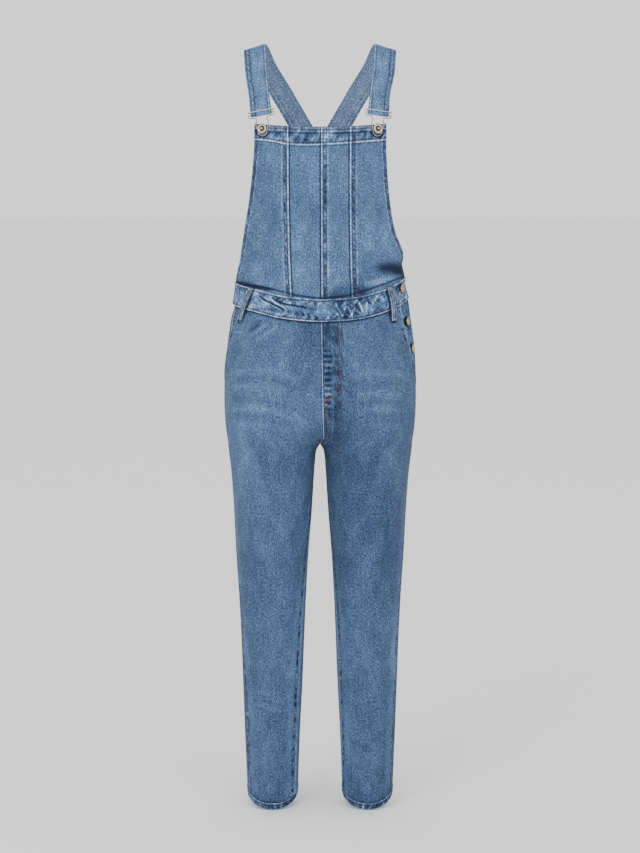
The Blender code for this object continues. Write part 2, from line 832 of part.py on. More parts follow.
def slider(side):
    """The wire ring that grips both layers of the strap."""
    depth = STRAP_TURN_RADIUS + STRAP_CLOTH / 2 + SLIDER_CLEAR + SLIDER_WIRE
    quarter = [(0, depth)] + [(u, depth) for u in SLIDER_STRAIGHT] + [(SLIDER_HALF - 1, depth - SLIDER_BEND)]
    half_route = quarter + [(SLIDER_HALF + 1, 0)] + [(u, -n) for u, n in quarter[::-1]]
    route = [(u, HOOK_LIFT + n) for u, n in half_route]
    route += [(-u, n) for u, n in route[-2:0:-1]]
    points = [Vector((u, SLIDER_V, n)) for u, n in route]
    frame = buckle_frame(side)
    wire("slider_" + SIDE_NAMES[side], [frame @ p for p in points], SLIDER_WIRE, METAL)


def in_metres(frame):
    """A frame in millimetres as an object's matrix."""
    made = frame.copy()
    made.translation = frame.translation * MM
    return made


def bib_button(side):
    name = "bib_button_" + SIDE_NAMES[side]
    turned(name, BIB_BUTTON, in_metres(buckle_frame(side)), METAL, BIB_BUTTON_STEPS)


def side_button(name, angle, z):
    lift = LAP + BAND_CLOTH if name == "waist_button" else facing_lift(LEFT, angle, z)
    out = outward(LEFT, angle, z)
    place = form(LEFT, angle, z, lift)
    up = (Vector((0, 0, 1)) - out * out.z).normalized()
    across = up.cross(out).normalized()
    frame = Matrix(
        ((across.x, up.x, out.x, place.x), (across.y, up.y, out.y, place.y),
         (across.z, up.z, out.z, place.z), (0, 0, 0, 1))
    )
    turned(name, SIDE_BUTTON, in_metres(frame), METAL, SIDE_BUTTON_STEPS)


for old in list(bpy.data.objects):
    bpy.data.objects.remove(old)
collection = bpy.data.collections.new("denim_overalls")
bpy.context.scene.collection.children.link(collection)

for wearer_side in (RIGHT, LEFT):
    leg_panel(wearer_side, front=True)
    leg_panel(wearer_side, front=False)
    pocket_facing(wearer_side)
    hem(wearer_side)
    strap(wearer_side)
    hook(wearer_side)
    slider(wearer_side)
    bib_button(wearer_side)

waistband(
    "waistband_front",
    -side_seam(RIGHT, WAIST_TOP_Z) + BAND_SEAM_CLEAR,
    side_seam(LEFT, WAIST_TOP_Z) - BAND_SEAM_CLEAR,
)
waistband(
    "waistband_back",
    side_seam(LEFT, WAIST_TOP_Z) + BAND_SEAM_CLEAR,
    360 - side_seam(RIGHT, WAIST_TOP_Z) - BAND_SEAM_CLEAR,
)
for loop in LOOPS:
    belt_loop(*loop)
bib()
bib_facing()
back_bib()
for button in SIDE_BUTTONS:
    side_button(*button)
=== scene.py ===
"""Denim overalls: the look. Lengths are millimetres unless a name says otherwise."""

import math

import bpy
import numpy as np
from mathutils import Matrix, Vector


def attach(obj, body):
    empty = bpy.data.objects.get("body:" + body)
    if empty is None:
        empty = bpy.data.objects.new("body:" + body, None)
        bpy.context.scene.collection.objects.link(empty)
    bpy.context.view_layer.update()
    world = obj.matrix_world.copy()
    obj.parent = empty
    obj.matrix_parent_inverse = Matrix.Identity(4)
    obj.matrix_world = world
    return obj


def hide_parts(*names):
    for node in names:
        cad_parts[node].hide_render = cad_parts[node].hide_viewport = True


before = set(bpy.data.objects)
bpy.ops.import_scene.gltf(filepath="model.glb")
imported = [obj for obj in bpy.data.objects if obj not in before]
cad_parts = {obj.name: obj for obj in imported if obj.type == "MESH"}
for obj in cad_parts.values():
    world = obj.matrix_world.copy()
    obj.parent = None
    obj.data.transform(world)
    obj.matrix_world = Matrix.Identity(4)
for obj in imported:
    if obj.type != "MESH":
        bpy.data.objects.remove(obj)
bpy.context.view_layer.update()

MM = 0.001
RIGHT, LEFT = -1, 1
SIDE_NAMES = {RIGHT: "right", LEFT: "left"}

GAP = 0.3
LAP = 0.75
POCKET_LAP = {RIGHT: 1.15, LEFT: 1.5}
CLOTH = 1.3
BAND_CLOTH = 2.4
FACING_CLOTH = 1.2
HEM_CLOTH = 3.0
HEM_OUT = 0.6
# What lies inside a panel starts this far in from the form
PANEL_WALL = 1.4
TUCK = 10.0
CROTCH_Z = -748.0
WAIST_TOP_Z = -442.0
WAISTBAND_HEIGHT = 41.0
WAIST_FADE = 200.0
HEM_Z = -1438.0
HEM_DROP = 22.0
HEM_HEIGHT = 13.0
HEM_FADE = 160.0
RISE_BLEND = 150.0
RISE_POWER = 1.6

WAIST_COLUMNS = ("angle", "right", "left")
WAIST_LINE = [
    (0, -466.4, -466.4),
    (25, -460.5, -462.0),
    (45, -451.0, -452.0),
    (60, -446.0, -442.5),
    (75, -442.5, -434.0),
    (95, -439.0, -430.0),
    (130, -430.0, -427.0),
    (180, -420.0, -420.0),
]
SECTION_COLUMNS = ("z", "reach", "inner", "front", "back")
SECTIONS = [
    (0, 160, 0, -76, 66),
    (-60, 163, 0, -96, 80),
    (-100, 165, 0, -108, 91),
    (-146, 166, 0, -116, 99),
    (-211, 166, 0, -122, 103),
    (-283, 166, 0, -123, 102),
    (-336, 165, 0, -117, 98),
    (-378, 163, 0, -110, 95),
    (-417, 160, 0, -104, 93),
    (-445, 157, 0, -103, 94),
    (-480, 162, 0, -107, 103),
    (-520, 169, 0, -112, 116),
    (-590, 179, 0, -115, 130),
    (-660, 182, 0, -114, 134),
    (-710, 180, 0, -110, 127),
    (-748, 175, 0, -104, 116),
    (-760, 174, 7, -102, 113),
    (-800, 169, 11, -98, 106),
    (-870, 164, 15, -91, 97),
    (-960, 160, 22, -82, 89),
    (-1050, 155, 27, -73, 83),
    (-1120, 152, 30, -67, 80),
    (-1220, 149, 34, -56, 80),
    (-1320, 146, 39, -44, 78),
    (-1460, 141, 44, -31, 75),
]
SEAM_COLUMNS = ("z", "side_right", "side_left", "inseam_right", "inseam_left")
SEAMS = [
    (-400, 98, 90, 90, 90),
    (-640, 98, 90, 90, 90),
    (-748, 94, 88, 90, 90),
    (-900, 84, 80, 76, 80),
    (-1120, 70, 68, 60, 66),
    (-1300, 60, 66, 57, 68),
    (-1460, 60, 66, 58, 78),
]
BIB_TOP_Z = -146.0
BIB_TOP_DIP = 5.5
BIB_TOP_HALF_WIDTH = 120.0
BIB_CORNER_ANGLE = 87.0
BIB_BAND = 32.0
BIB_OUTLINE_COLUMNS = ("z", "right", "left")
BIB_OUTLINE = [
    (-140, 119, 121),
    (-211, 122, 122),
    (-283, 130, 128),
    (-336, 139, 137),
    (-378, 146, 151),
    (-417, 154, 157),
    (-440, 158, 158),
]
BIB_FACING_HEIGHT = 30.0
BIB_SEAMS = {
    # x at the top, lean towards the wearer's left by the waist
    "right": (-56.8, 5.0),
    "middle": (1.5, 1.0),
    "left": (53.8, 4.0),
}
BIB_LEAN_HEIGHT = 310.0
BIB_LEAN_POWER = 3.6
BACK_BIB_TOP_Z = -275.0
BACK_BIB_OUTLINE_COLUMNS = ("z", "half_width")
BACK_BIB_OUTLINE = [
    (-270, 64),
    (-310, 70),
    (-350, 81),
    (-385, 98),
    (-410, 120),
    (-428, 143),
    (-440, 157),
]
POCKET_LENGTH = 150.0
POCKET_TOP_ANGLE = {RIGHT: 76.0, LEFT: 65.5}
POCKET_CURVE = 2.2
POCKET_UNDERLAP_ANGLE = 8.0
POCKET_SEAM_LAP_ANGLE = 2.0
POCKET_BULGE = 0.15
POCKET_BULGE_FADE = 30.0
LOOP_WIDTH = 12.0
LOOP_CLOTH = 1.6
LOOP_BELOW_BAND = 22.0
LOOP_BULGE = 1.6
LOOPS = [
    ("belt_loop_front_right", RIGHT, 52.5, 63.0),
    ("belt_loop_front_left", LEFT, 53.5, 54.5),
    ("belt_loop_back_right", RIGHT, 138.0, 138.0),
    ("belt_loop_back_left", LEFT, 134.0, 134.0),
    ("belt_loop_back_centre", LEFT, 180.0, 180.0),
]
STRAP_WIDTH = 41.0
STRAP_CLOTH = 2.4
STRAP_CROSS_Z = -214.0
STRAP_SLOPE = 0.584
STRAP_END_LAP = 26.0
STRAP_CROSS_LIFT = 3.4
STRAP_CROSS_REACH = 52.0
STRAP_CROSS_RAMP = 21.0
STRAP_BACK_START_Z = -92.0
STRAP_BACK_STEPS = 15
SHOULDER = [
    # x, y, z, turn, drop
    (117.0, -66.0, -52.0, 20.0, 7.0),
    (120.0, -40.0, -22.0, 10.0, 13.0),
    (121.0, -6.0, -6.0, 0.0, 17.0),
    (113.0, 30.0, -16.0, -10.0, 22.0),
    (98.5, 60.0, -47.0, -18.0, 27.0),
]
BIB_BUTTON_X = 104.0
BIB_BUTTON_Z = -155.0
BUCKLE_ROLL = {RIGHT: 9.0, LEFT: 7.0}
HOOK_WIRE = 1.0
HOOK_LIFT = 1.35
HOOK_BAR_V = 27.0
SLIDER_WIRE = 0.9
SLIDER_GAP = 0.35
SLIDER_V = 32.0
SLIDER_HALF = 26.0
STRAP_TURN_RADIUS = 2.7
STRAP_TURN_STEPS = 18
STRAP_TAIL = 34.0
STRAP_TAIL_REST = 18.7
STRAP_BACK_REACH = 9.0
STRAP_FRONT_REACH = 12.0
STRAP_FLAT_V = 65.0
SIDE_BUTTONS = [
    # name, angle, z
    ("waist_button", 69.8, -450.5),
    ("placket_button_upper", 73.0, -513.0),
    ("placket_button_lower", 77.0, -565.0),
]
# The front middle seam leans to the wearer's left: at the waist, just above the crotch, and how
# soon it returns to the middle.
RISE_LEAN = (3.6, 8.0, 26.0)

# Soft folds: face, place across it (x, or y on the left), z, tilt, length, width, depth (minus is a
# trough). The first rows are the largest, which the solids have too.
FOLD_FACING = 2.5
FOLDS = [
    ("left", 0, -478, 0, 80, 24, 3.2),
    ("left", 0, -535, 0, 80, 60, 3.2),
    ("front", 128, -414, 4, 46, 13, -6.0),
    ("front", 124, -388, 8, 48, 18, 3.5),
    ("front", -118, -405, -12, 40, 16, -2.5),
    ("front", 34, -712, 62, 44, 18, -3.5),
    ("front", -36, -716, -58, 40, 18, -2.5),
    ("front", -96, -1236, 6, 34, 17, -3.0),
    ("front", -92, -1272, -8, 32, 17, 2.5),
    ("front", 78, -1352, -28, 30, 17, -3.0),
    ("front", 112, -1330, 38, 32, 17, -3.0),
    ("front", 92, -1100, 10, 36, 22, 2.5),
    ("back", -84, -770, -18, 52, 18, -4.0),
    ("back", 84, -768, 18, 52, 18, -4.0),
    ("back", -90, -1085, 10, 40, 17, -4.0),
    ("back", -94, -1126, -6, 40, 17, 3.5),
    ("back", 92, -1092, -8, 40, 17, -4.0),
    ("back", 90, -1134, 8, 40, 17, 3.5),
    ("back", -94, -1290, 12, 34, 17, -3.0),
    ("back", 96, -1300, -12, 34, 17, -3.0),
]
CREASES = [
    ("front", 142, -402, -10, 24, 6, -2.2),
    ("front", 112, -420, 10, 30, 6, -1.4),
    ("front", 100, -436, 14, 26, 6, 1.0),
    ("front", -134, -428, -24, 22, 6, -1.4),
    ("front", 30, -430, 4, 34, 8, -0.8),
    ("front", -66, -340, 82, 60, 9, -0.6),
    ("front", 82, -320, 80, 60, 10, -0.6),
    ("front", -110, -520, 38, 22, 4, 0.9),
    ("front", -122, -536, 34, 26, 5, -0.9),
    ("front", -100, -545, 30, 24, 6, 0.6),
    ("front", -84, -604, 2, 52, 7, 0.9),
    ("front", -88, -622, -2, 54, 8, -0.8),
    ("front", -80, -650, 3, 50, 8, 0.8),
    ("front", -84, -668, 1, 48, 8, -0.7),
    ("front", -70, -700, -6, 44, 8, 0.6),
    ("front", 96, -612, 0, 44, 7, 0.8),
    ("front", 92, -632, 4, 46, 8, -0.7),
    ("front", 100, -658, -4, 42, 8, 0.7),
    ("front", -42, -690, -38, 26, 4, 0.7),
    ("front", 44, -770, 70, 30, 9, -1.2),
    ("front", -40, -776, -70, 30, 9, -1.0),
    ("front", -98, -1216, 12, 26, 8, 1.0),
    ("front", -86, -1252, -14, 24, 8, -1.0),
    ("front", -96, -1300, 8, 26, 9, 0.9),
    ("front", 84, -1246, -10, 26, 9, -0.9),
    ("front", 100, -1278, 14, 24, 9, 0.9),
    ("front", 70, -1378, -40, 22, 8, -1.0),
    ("front", 104, -1392, 30, 20, 8, -0.9),
    ("front", -78, -1362, -20, 20, 8, -0.8),
    ("front", -104, -1386, 24, 20, 8, 0.8),
    ("back", -60, -742, -24, 40, 8, 1.5),
    ("back", 62, -744, 24, 40, 8, 1.5),
    ("back", -100, -800, -12, 44, 9, -1.6),
    ("back", 98, -796, 12, 44, 9, -1.6),
    ("back", -84, -1060, -8, 30, 8, 1.4),
    ("back", 86, -1064, 10, 30, 8, 1.4),
    ("back", -96, -1106, 14, 32, 8, -1.2),
    ("back", 98, -1112, -14, 32, 8, -1.2),
    ("back", -80, -1150, 6, 30, 9, -1.2),
    ("back", 84, -1156, -6, 30, 9, -1.2),
    ("back", -92, -1340, -20, 24, 9, 1.0),
    ("back", 92, -1346, 18, 24, 9, 1.0),
    ("back", 0, -440, 2, 60, 9, -1.0),
    ("back", -70, -470, 24, 30, 7, -0.9),
    ("back", 72, -472, -22, 30, 7, -0.9),
]


def smooth(table, columns, name, at):
    """A column of a table, read between its rows on a smooth curve."""
    key = columns.index(name)
    rows = sorted(table)
    if at <= rows[0][0]:
        return float(rows[0][key])
    if at >= rows[-1][0]:
        return float(rows[-1][key])
    i = max(k for k in range(len(rows) - 1) if rows[k][0] <= at)

    def slope(k):
        low, high = max(k - 1, 0), min(k + 1, len(rows) - 1)
        return (rows[high][key] - rows[low][key]) / (rows[high][0] - rows[low][0])

    span = rows[i + 1][0] - rows[i][0]
    t = (at - rows[i][0]) / span
    start, end = rows[i][key], rows[i + 1][key]
    return (
        start * (2 * t**3 - 3 * t**2 + 1)
        + end * (3 * t**2 - 2 * t**3)
        + slope(i) * span * (t**3 - 2 * t**2 + t)
        + slope(i + 1) * span * (t**3 - t**2)
    )


HEIGHTS = np.arange(-1480.0, 12.0, 1.0)
ANGLES = np.arange(0.0, 181.0, 1.0)


def sampled(table, columns, keys):
    return {
        name: np.array([smooth(table, columns, name, float(at)) for at in keys]) for name in columns[1:]
    }


SECTION = sampled(SECTIONS, SECTION_COLUMNS, HEIGHTS)
SEAM = sampled(SEAMS, SEAM_COLUMNS, HEIGHTS)
BIB_EDGE = sampled(BIB_OUTLINE, BIB_OUTLINE_COLUMNS, HEIGHTS)
BACK_EDGE = sampled(BACK_BIB_OUTLINE, BACK_BIB_OUTLINE_COLUMNS, HEIGHTS)
WAIST = sampled(WAIST_LINE, WAIST_COLUMNS, ANGLES)


def at_height(values, z):
    return np.interp(z, HEIGHTS, values)


def ease(t):
    t = np.clip(t, 0.0, 1.0)
    return t * t * (3 - 2 * t)


def mix(a, b, t):
    return a + (b - a) * t


def hump(d, middle, width):
    """A line at a distance from an edge, fading out on both sides of it."""
    return np.exp(-(((d - middle) / width) ** 2))


def band(d, low, high, soft=1.0):
    """1 between two distances and 0 outside them, with soft ends."""
    return ease((d - low) / soft + 0.5) * ease((high - d) / soft + 0.5)


def noise(x, y, seed):
    """Smooth value noise, from -1 to 1, one cell for each unit."""
    table = np.random.default_rng(seed).uniform(-1, 1, (64, 64))
    x, y = np.broadcast_arrays(np.asarray(x, float), np.asarray(y, float))
    i, j = np.floor(x).astype(int), np.floor(y).astype(int)
    s, t = ease(x - i), ease(y - j)
    a, b = table[i % 64, j % 64], table[(i + 1) % 64, j % 64]
    c, d = table[i % 64, (j + 1) % 64], table[(i + 1) % 64, (j + 1) % 64]
    return mix(mix(a, b, s), mix(c, d, s), t)


def mottled(x, y, seed, coarse, fine, gap=1):
    """Noise of two sizes, each with its cell along x, its cell along y and its share."""
    (wide, high, share), (small, low, other) = coarse, fine
    return noise(x / wide, y / high, seed) * share + noise(x / small, y / low, seed + gap) * other


def section(z):
    reach, inner, front, back = (at_height(SECTION[n], z) for n in SECTION_COLUMNS[1:])
    parting = (1 - np.clip((z - CROTCH_Z) / RISE_BLEND, 0, 1)) ** RISE_POWER
    above = z >= CROTCH_Z
    half = np.where(above, reach / (1 + parting), (reach - inner) / 2)
    middle = np.where(above, half * parting, (reach + inner) / 2)
    return middle, half, (front + back) / 2, (back - front) / 2


def bare_form(side, angle, z):
    middle, half, depth_middle, depth_half = section(z)
    turn = np.radians(angle)
    x = side * (middle + half * np.sin(turn))
    y = depth_middle - depth_half * np.cos(turn)
    return np.stack(np.broadcast_arrays(x, y, z), -1)


def read_along(values, run, at):
    """Points read from a line, at distances along it."""
    return np.stack([np.interp(at, run, values[:, k]) for k in range(3)], -1)


def run_of(points):
    """The distance along a line up to each of its points."""
    return np.concatenate([[0], np.cumsum(np.linalg.norm(np.diff(points, axis=0), axis=1))])


def unit(v):
    return v / np.maximum(np.linalg.norm(v, axis=-1, keepdims=True), 1e-9)


def outward(side, angle, z):
    round_it = bare_form(side, angle + 1, z) - bare_form(side, angle - 1, z)
    down = bare_form(side, angle, z - 1) - bare_form(side, angle, z + 1)
    return unit(np.cross(down, round_it) * np.asarray(side, float)[..., None])


def folds_at(side, p, angle):
    turn = np.radians(angle)
    facing = {"front": np.cos(turn), "back": -np.cos(turn), "left": side * np.sin(turn)}
    moved = np.zeros(p.shape[:-1])
    for face, middle, z, tilt, length, width, depth in FOLDS + CREASES:
        share = ease(FOLD_FACING * facing[face])
        place = p[..., 1 if face == "left" else 0] - middle
        c, s = math.cos(math.radians(tilt)), math.sin(math.radians(tilt))
        along = place * c + (p[..., 2] - z) * s
        across = (p[..., 2] - z) * c - place * s
        moved += share * depth * np.exp(-((along / length) ** 2) - (across / width) ** 2)
    return moved


def form(side, angle, z, out=0.0):
    """Points of the cloth, moved out from the form's surface, and their outward directions."""
    side, angle, z = np.broadcast_arrays(np.asarray(side, float), np.asarray(angle, float), np.asarray(z, float))
    p = bare_form(side, angle, z)
    n = outward(side, angle, z)
    return p + n * (out + folds_at(side, p, angle))[..., None], n


def from_front(turn):
    """A turn round the body, between -180 and 180."""
    return (turn + 180) % 360 - 180


def side_of(turn):
    return np.where(turn >= 0, LEFT, RIGHT)


def waist_z(side, angle):
    angle = np.minimum(np.abs(angle), 360 - np.abs(angle))
    right, left = (np.interp(angle, ANGLES, WAIST[n]) for n in ("right", "left"))
    return np.where(np.asarray(side) == LEFT, left, right)


def hem_z(angle):
    return HEM_Z - HEM_DROP * np.cos(np.radians(angle))


def side_seam(side, z):
    return at_height(SEAM["side_" + SIDE_NAMES[side]], z)


def inner_angle(side, z, front):
    middle, half, _, _ = section(z)
    at_waist, low, fade = RISE_LEAN
    down = np.clip((WAIST_TOP_Z - WAISTBAND_HEIGHT - z) / (WAIST_TOP_Z - WAISTBAND_HEIGHT - CROTCH_Z), 0, 1)
    lean = side * mix(at_waist, low, down) * ease((z - CROTCH_Z) / fade) if front else 0.0
    inside = np.degrees(np.arcsin(np.clip((lean - middle) / half, -1, 1)))
    inseam = at_height(SEAM["inseam_" + SIDE_NAMES[side]], z)
    if front:
        return np.where(z >= CROTCH_Z, inside, -inseam)
    return np.where(z >= CROTCH_Z, 180 - inside, 360 - inseam)


def pocket_edge(side, z):
    top = waist_z(side, POCKET_TOP_ANGLE[side]) - WAISTBAND_HEIGHT
    down = np.clip((top - z) / POCKET_LENGTH, 0, 1)
    return mix(POCKET_TOP_ANGLE[side], side_seam(side, z), down**POCKET_CURVE)


def facing_lift(side, angle, z):
    start, end = pocket_edge(side, z), side_seam(side, z)
    share = np.clip((angle - start) / np.maximum(end - start, 0.01), 0, 1)
    below_band = ease((waist_z(side, angle) - WAISTBAND_HEIGHT - z) / POCKET_BULGE_FADE)
    bulge = POCKET_BULGE * (end - start) * np.sin(np.pi * share) ** 2
    return bulge * below_band - PANEL_WALL - POCKET_LAP[side]


# Cloth. On a piece, d is the distance from its start edge, e from its end edge, s from its top and v
# down a band. lift moves the cloth out, in millimetres, and tone is its wear and painted light and shade: pale
# above 0, dark below.
# The bare numbers of a piece are such distances and widths, cells of noise, seeds and strengths.


class Cloth:
    """A grid of points over the form, top row first, with its distances from each edge."""

    def __init__(self, side, start, end, height, levels, out=0.0, step=5.0, edge=(14, 14), on_turn=False):
        """side is a leg's side; on_turn pieces run round the whole body instead, on turns from the front."""
        self.side, self.on_turn = side, on_turn
        dense = np.linspace(0, 1, 61)
        level = np.asarray(levels, float)[:, None]
        rough = mix(start(level), end(level), dense)
        z = height(level, rough)
        for _ in range(3):
            angle = mix(start(z), end(z), dense)
            z = height(level, angle)
        p, _ = self.place(angle, z, out)
        run = np.concatenate(
            [np.zeros((len(levels), 1)), np.cumsum(np.linalg.norm(np.diff(p, axis=1), axis=2), 1)], 1
        )
        width = run[:, -1:]
        near = [np.array(self.cluster(reach)) for reach in edge]
        squeeze = [np.minimum(1.0, 0.45 * width / n[-1]) for n in near]
        low, high = near[0][None] * squeeze[0], width - near[1][None, ::-1] * squeeze[1]
        count = max(2, int(round((width.max() - near[0][-1] - near[1][-1]) / step)))
        middle = mix(low[:, -1:], high[:, :1], np.linspace(0, 1, count + 1)[None, 1:-1])
        self.from_start = np.concatenate([low, middle, high], 1)
        self.from_end = width - self.from_start
        self.angle = np.stack([np.interp(d, r, a) for d, r, a in zip(self.from_start, run, angle)])
        self.z = np.stack([np.interp(d, r, a) for d, r, a in zip(self.from_start, run, z)])
        self.out = out
        self.lift = np.zeros_like(self.z)
        self.tone = np.zeros_like(self.z)
        self.p, self.n = self.place(self.angle, self.z, out)
        down = np.linalg.norm(np.diff(self.p, axis=0), axis=2)
        self.from_top = np.concatenate([np.zeros((1, down.shape[1])), np.cumsum(down, 0)])
        self.from_bottom = self.from_top[-1:] - self.from_top
        self.width = width

    @staticmethod
    def cluster(reach):
        """Column positions near an edge, closest at the edge itself."""
        return [0, 0.5, 1.0, 1.6, 2.3, 3.1] + list(np.arange(4.3, reach + 0.1, 1.3))

    def place(self, angle, z, out):
        if self.on_turn:
            turn = from_front(angle)
            return form(side_of(turn), np.abs(turn), z, out)
        middle, half, _, _ = section(z)
        across = middle + half * np.sin(np.radians(angle))
        crossed = (across < 0) & (z >= CROTCH_Z) & (np.abs(angle) < 90)
        other = np.degrees(np.arcsin(np.clip((-across - middle) / half, -1, 1)))
        return form(np.where(crossed, -self.side, self.side), np.where(crossed, other, angle), z, out)

    def settle(self):
        """The final points, once lift is complete."""
        self.p = self.p + self.n * self.lift[..., None]
        return self

    def down_line(self, distance, from_end=False, low=0.0, high=1e9):
        """A line at a distance from one side edge, between two distances from the top."""
        points, normals = [], []
        distance = np.broadcast_to(distance, (len(self.p),))
        for r in range(len(self.p)):
            order = slice(None, None, -1 if from_end else 1)
            d = (self.from_end if from_end else self.from_start)[r, order]
            if low <= np.interp(distance[r], d, self.from_top[r, order]) <= high and distance[r] <= d[-1]:
                points.append(read_along(self.p[r, order], d, distance[r]))
                normals.append(read_along(self.n[r, order], d, distance[r]))
        return np.array(points), np.array(normals)

    def cross_line(self, distance, from_bottom=False, low=0.0, high=0.0):
        """A line at a distance from the top or bottom edge, leaving out its two ends."""
        points, normals = [], []
        distance = np.broadcast_to(distance, (self.p.shape[1],))
        for c in range(self.p.shape[1]):
            if self.from_start[0, c] < low or self.from_end[0, c] < high:
                continue
            order = slice(None, None, -1 if from_bottom else 1)
            d = (self.from_bottom if from_bottom else self.from_top)[order, c]
            points.append(read_along(self.p[order, c], d, distance[c]))
            normals.append(read_along(self.n[order, c], d, distance[c]))
        return np.array(points), np.array(normals)

    def at(self, from_start, from_top):
        """One point at distances from the start edge and the top."""
        column = int(np.argmin(np.abs(self.from_start[0] - from_start)))
        row = int(np.argmin(np.abs(self.from_top[:, column] - from_top)))
        column = int(np.argmin(np.abs(self.from_start[row] - from_start)))
        share = self.p[row, column] + (from_start - self.from_start[row, column]) * self.across(row, column)
        return share, self.n[row, column]

    def across(self, row, column):
        c = min(max(column, 1), self.p.shape[1] - 2)
        return unit(self.p[row, c + 1] - self.p[row, c - 1])

    def flipped(self):
        """Whether the columns run against the outward winding."""
        if self.on_turn:
            return False
        mean_n = np.cross(self.p[1, 0] - self.p[0, 0], self.p[0, 1] - self.p[0, 0])
        return float(mean_n @ self.n[0, 0]) < 0


def grid_cloth(side, p, n, angle, z, from_start, width, from_top, length):
    """Cloth on rows and columns of its own: a hem, a belt loop or a strap."""
    cloth = Cloth.__new__(Cloth)
    cloth.side, cloth.on_turn = side, False
    cloth.p, cloth.n, cloth.angle, cloth.z = p, n, angle, z
    cloth.from_start, cloth.width = np.broadcast_to(from_start, z.shape).copy(), width
    cloth.from_end = width - cloth.from_start
    cloth.from_top = np.broadcast_to(from_top, z.shape).copy()
    cloth.from_bottom = length - cloth.from_top
    cloth.lift, cloth.tone = np.zeros_like(z), np.zeros_like(z)
    return cloth


def put(name, data):
    """A new object, linked into the scene."""
    made = bpy.data.objects.new(name, data)
    bpy.context.scene.collection.objects.link(made)
    return made


SHARP_ANGLE = 62.0


def shell(name, cloth, thickness, nodes, ring=False, look=None, inner_look=None):
    """The cloth as a thin closed mesh, with its wear and painted light and shade on the points, standing for CAD
    nodes.
    """
    p, n, tone = cloth.p, cloth.n, cloth.tone
    u = (cloth.from_start - cloth.width / 2) * MM
    v = cloth.z * MM
    if cloth.flipped():
        p, n, tone, u, v = (a[:, ::-1] for a in (p, n, tone, u, v))
    rows, columns = tone.shape
    rise = np.gradient(p, axis=0)
    across = np.gradient(p, axis=1)
    if ring:
        across = np.roll(p, -1, 1) - np.roll(p, 1, 1)
    normal = unit(np.cross(rise, across))
    inner = p - normal * thickness
    verts = np.concatenate([p.reshape(-1, 3), inner.reshape(-1, 3)]) * MM
    index = np.arange(rows * columns).reshape(rows, columns)
    right = np.roll(index, -1, 1) if ring else index[:, 1:]
    base = index if ring else index[:, :-1]
    outer = np.stack([base[:-1], base[1:], right[1:], right[:-1]], -1).reshape(-1, 4)
    shift = rows * columns
    back = outer[:, ::-1] + shift
    rims = []

    def rim(line):
        rims.append(np.stack([line[:-1], line[1:], line[1:] + shift, line[:-1] + shift], -1))

    top, bottom = index[0], index[-1]
    if ring:
        top, bottom = np.append(top, top[0]), np.append(bottom, bottom[0])
    rim(bottom)
    rim(top[::-1])
    if not ring:
        rim(index[:, 0])
        rim(index[::-1, -1])
    rims = np.concatenate(rims)[:, ::-1]
    faces = np.concatenate([outer, back, rims])
    mesh = bpy.data.meshes.new(name)
    mesh.from_pydata(verts.tolist(), [], faces.tolist())
    mesh.materials.append(look or denim)
    mesh.materials.append(inner_look or denim_inside)
    slots = np.zeros(len(faces), int)
    slots[len(outer):len(outer) + len(back)] = 1
    mesh.polygons.foreach_set("material_index", slots)
    mesh.polygons.foreach_set("use_smooth", np.ones(len(faces), bool))
    # tone on the points: wear and painted light and shade, weaker on the inside
    both = np.concatenate([tone.ravel(), tone.ravel() * 0.3])
    mesh.attributes.new("wear_and_shade", "FLOAT", "POINT").data.foreach_set("value", both.astype(np.float32))
    layer = mesh.uv_layers.new(name="cut")
    corners = np.zeros(len(mesh.loops), int)
    mesh.loops.foreach_get("vertex_index", corners)
    uv = np.stack([np.tile(u.ravel(), 2), np.tile(v.ravel(), 2)], -1)
    layer.data.foreach_set("uv", uv[corners].astype(np.float32).ravel())
    mesh.update()
    made = put(name, mesh)
    made.data.validate()
    mesh.set_sharp_from_angle(angle=math.radians(SHARP_ANGLE))
    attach(made, "root")
    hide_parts(*nodes)


# Threads

STITCH = 2.7
STITCH_GAP = 0.7
THREAD_HALF = 0.42
THREAD_CROWN = 0.22
THREAD_ROOT = 0.45
# Share along a stitch, lift and whether the thread has width there
STITCH_SHAPE = ((0.0, -0.05, False), (0.2, 0.34, True), (0.8, 0.34, True), (1.0, -0.05, False))
BARTACK_STEP = 0.8
BARTACK_OVER = 0.6


def stitches(name, runs, look):
    """Rows of short stitches along lines that lie on the cloth."""
    verts, faces = [], []
    for points, normals in runs:
        if len(points) < 2:
            continue
        run = run_of(points)
        starts = np.arange(0.4, run[-1] - STITCH, STITCH + STITCH_GAP)
        if not len(starts):
            continue
        for part, lift, wide in STITCH_SHAPE:
            at = starts + STITCH * part
            p = read_along(points, run, at)
            n = unit(read_along(normals, run, at))
            ahead, behind = read_along(points, run, at + 0.5), read_along(points, run, at - 0.5)
            side = unit(np.cross(n, unit(ahead - behind)))
            top = p + n * lift
            if wide:
                verts.append(np.stack([top + side * THREAD_HALF, top + n * THREAD_CROWN,
                                       top - side * THREAD_HALF, top - n * THREAD_ROOT], 1))
            else:
                verts.append(top[:, None])
        # A stitch has a point at each end and two squares between them.
        base = sum(v.shape[0] * v.shape[1] for v in verts[:-4])
        count = len(starts)
        k = np.arange(count)
        t = base + k
        a = base + count + 4 * k
        b = a + 4 * count
        h = base + count * 9 + k
        for i in range(4):
            j = (i + 1) % 4
            faces.append(np.stack([t, a + j, a + i, a + i], -1))
            faces.append(np.stack([a + i, a + j, b + j, b + i], -1))
            faces.append(np.stack([b + i, b + j, h, h], -1))
    flat = np.concatenate([v.reshape(-1, 3) for v in verts]) * MM
    polygons = [list(dict.fromkeys(f)) for f in np.concatenate(faces).tolist()]
    mesh = bpy.data.meshes.new(name)
    mesh.from_pydata(flat.tolist(), [], polygons)
    mesh.materials.append(look)
    mesh.shade_smooth()
    made = put(name, mesh)
    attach(made, "root")
    return made


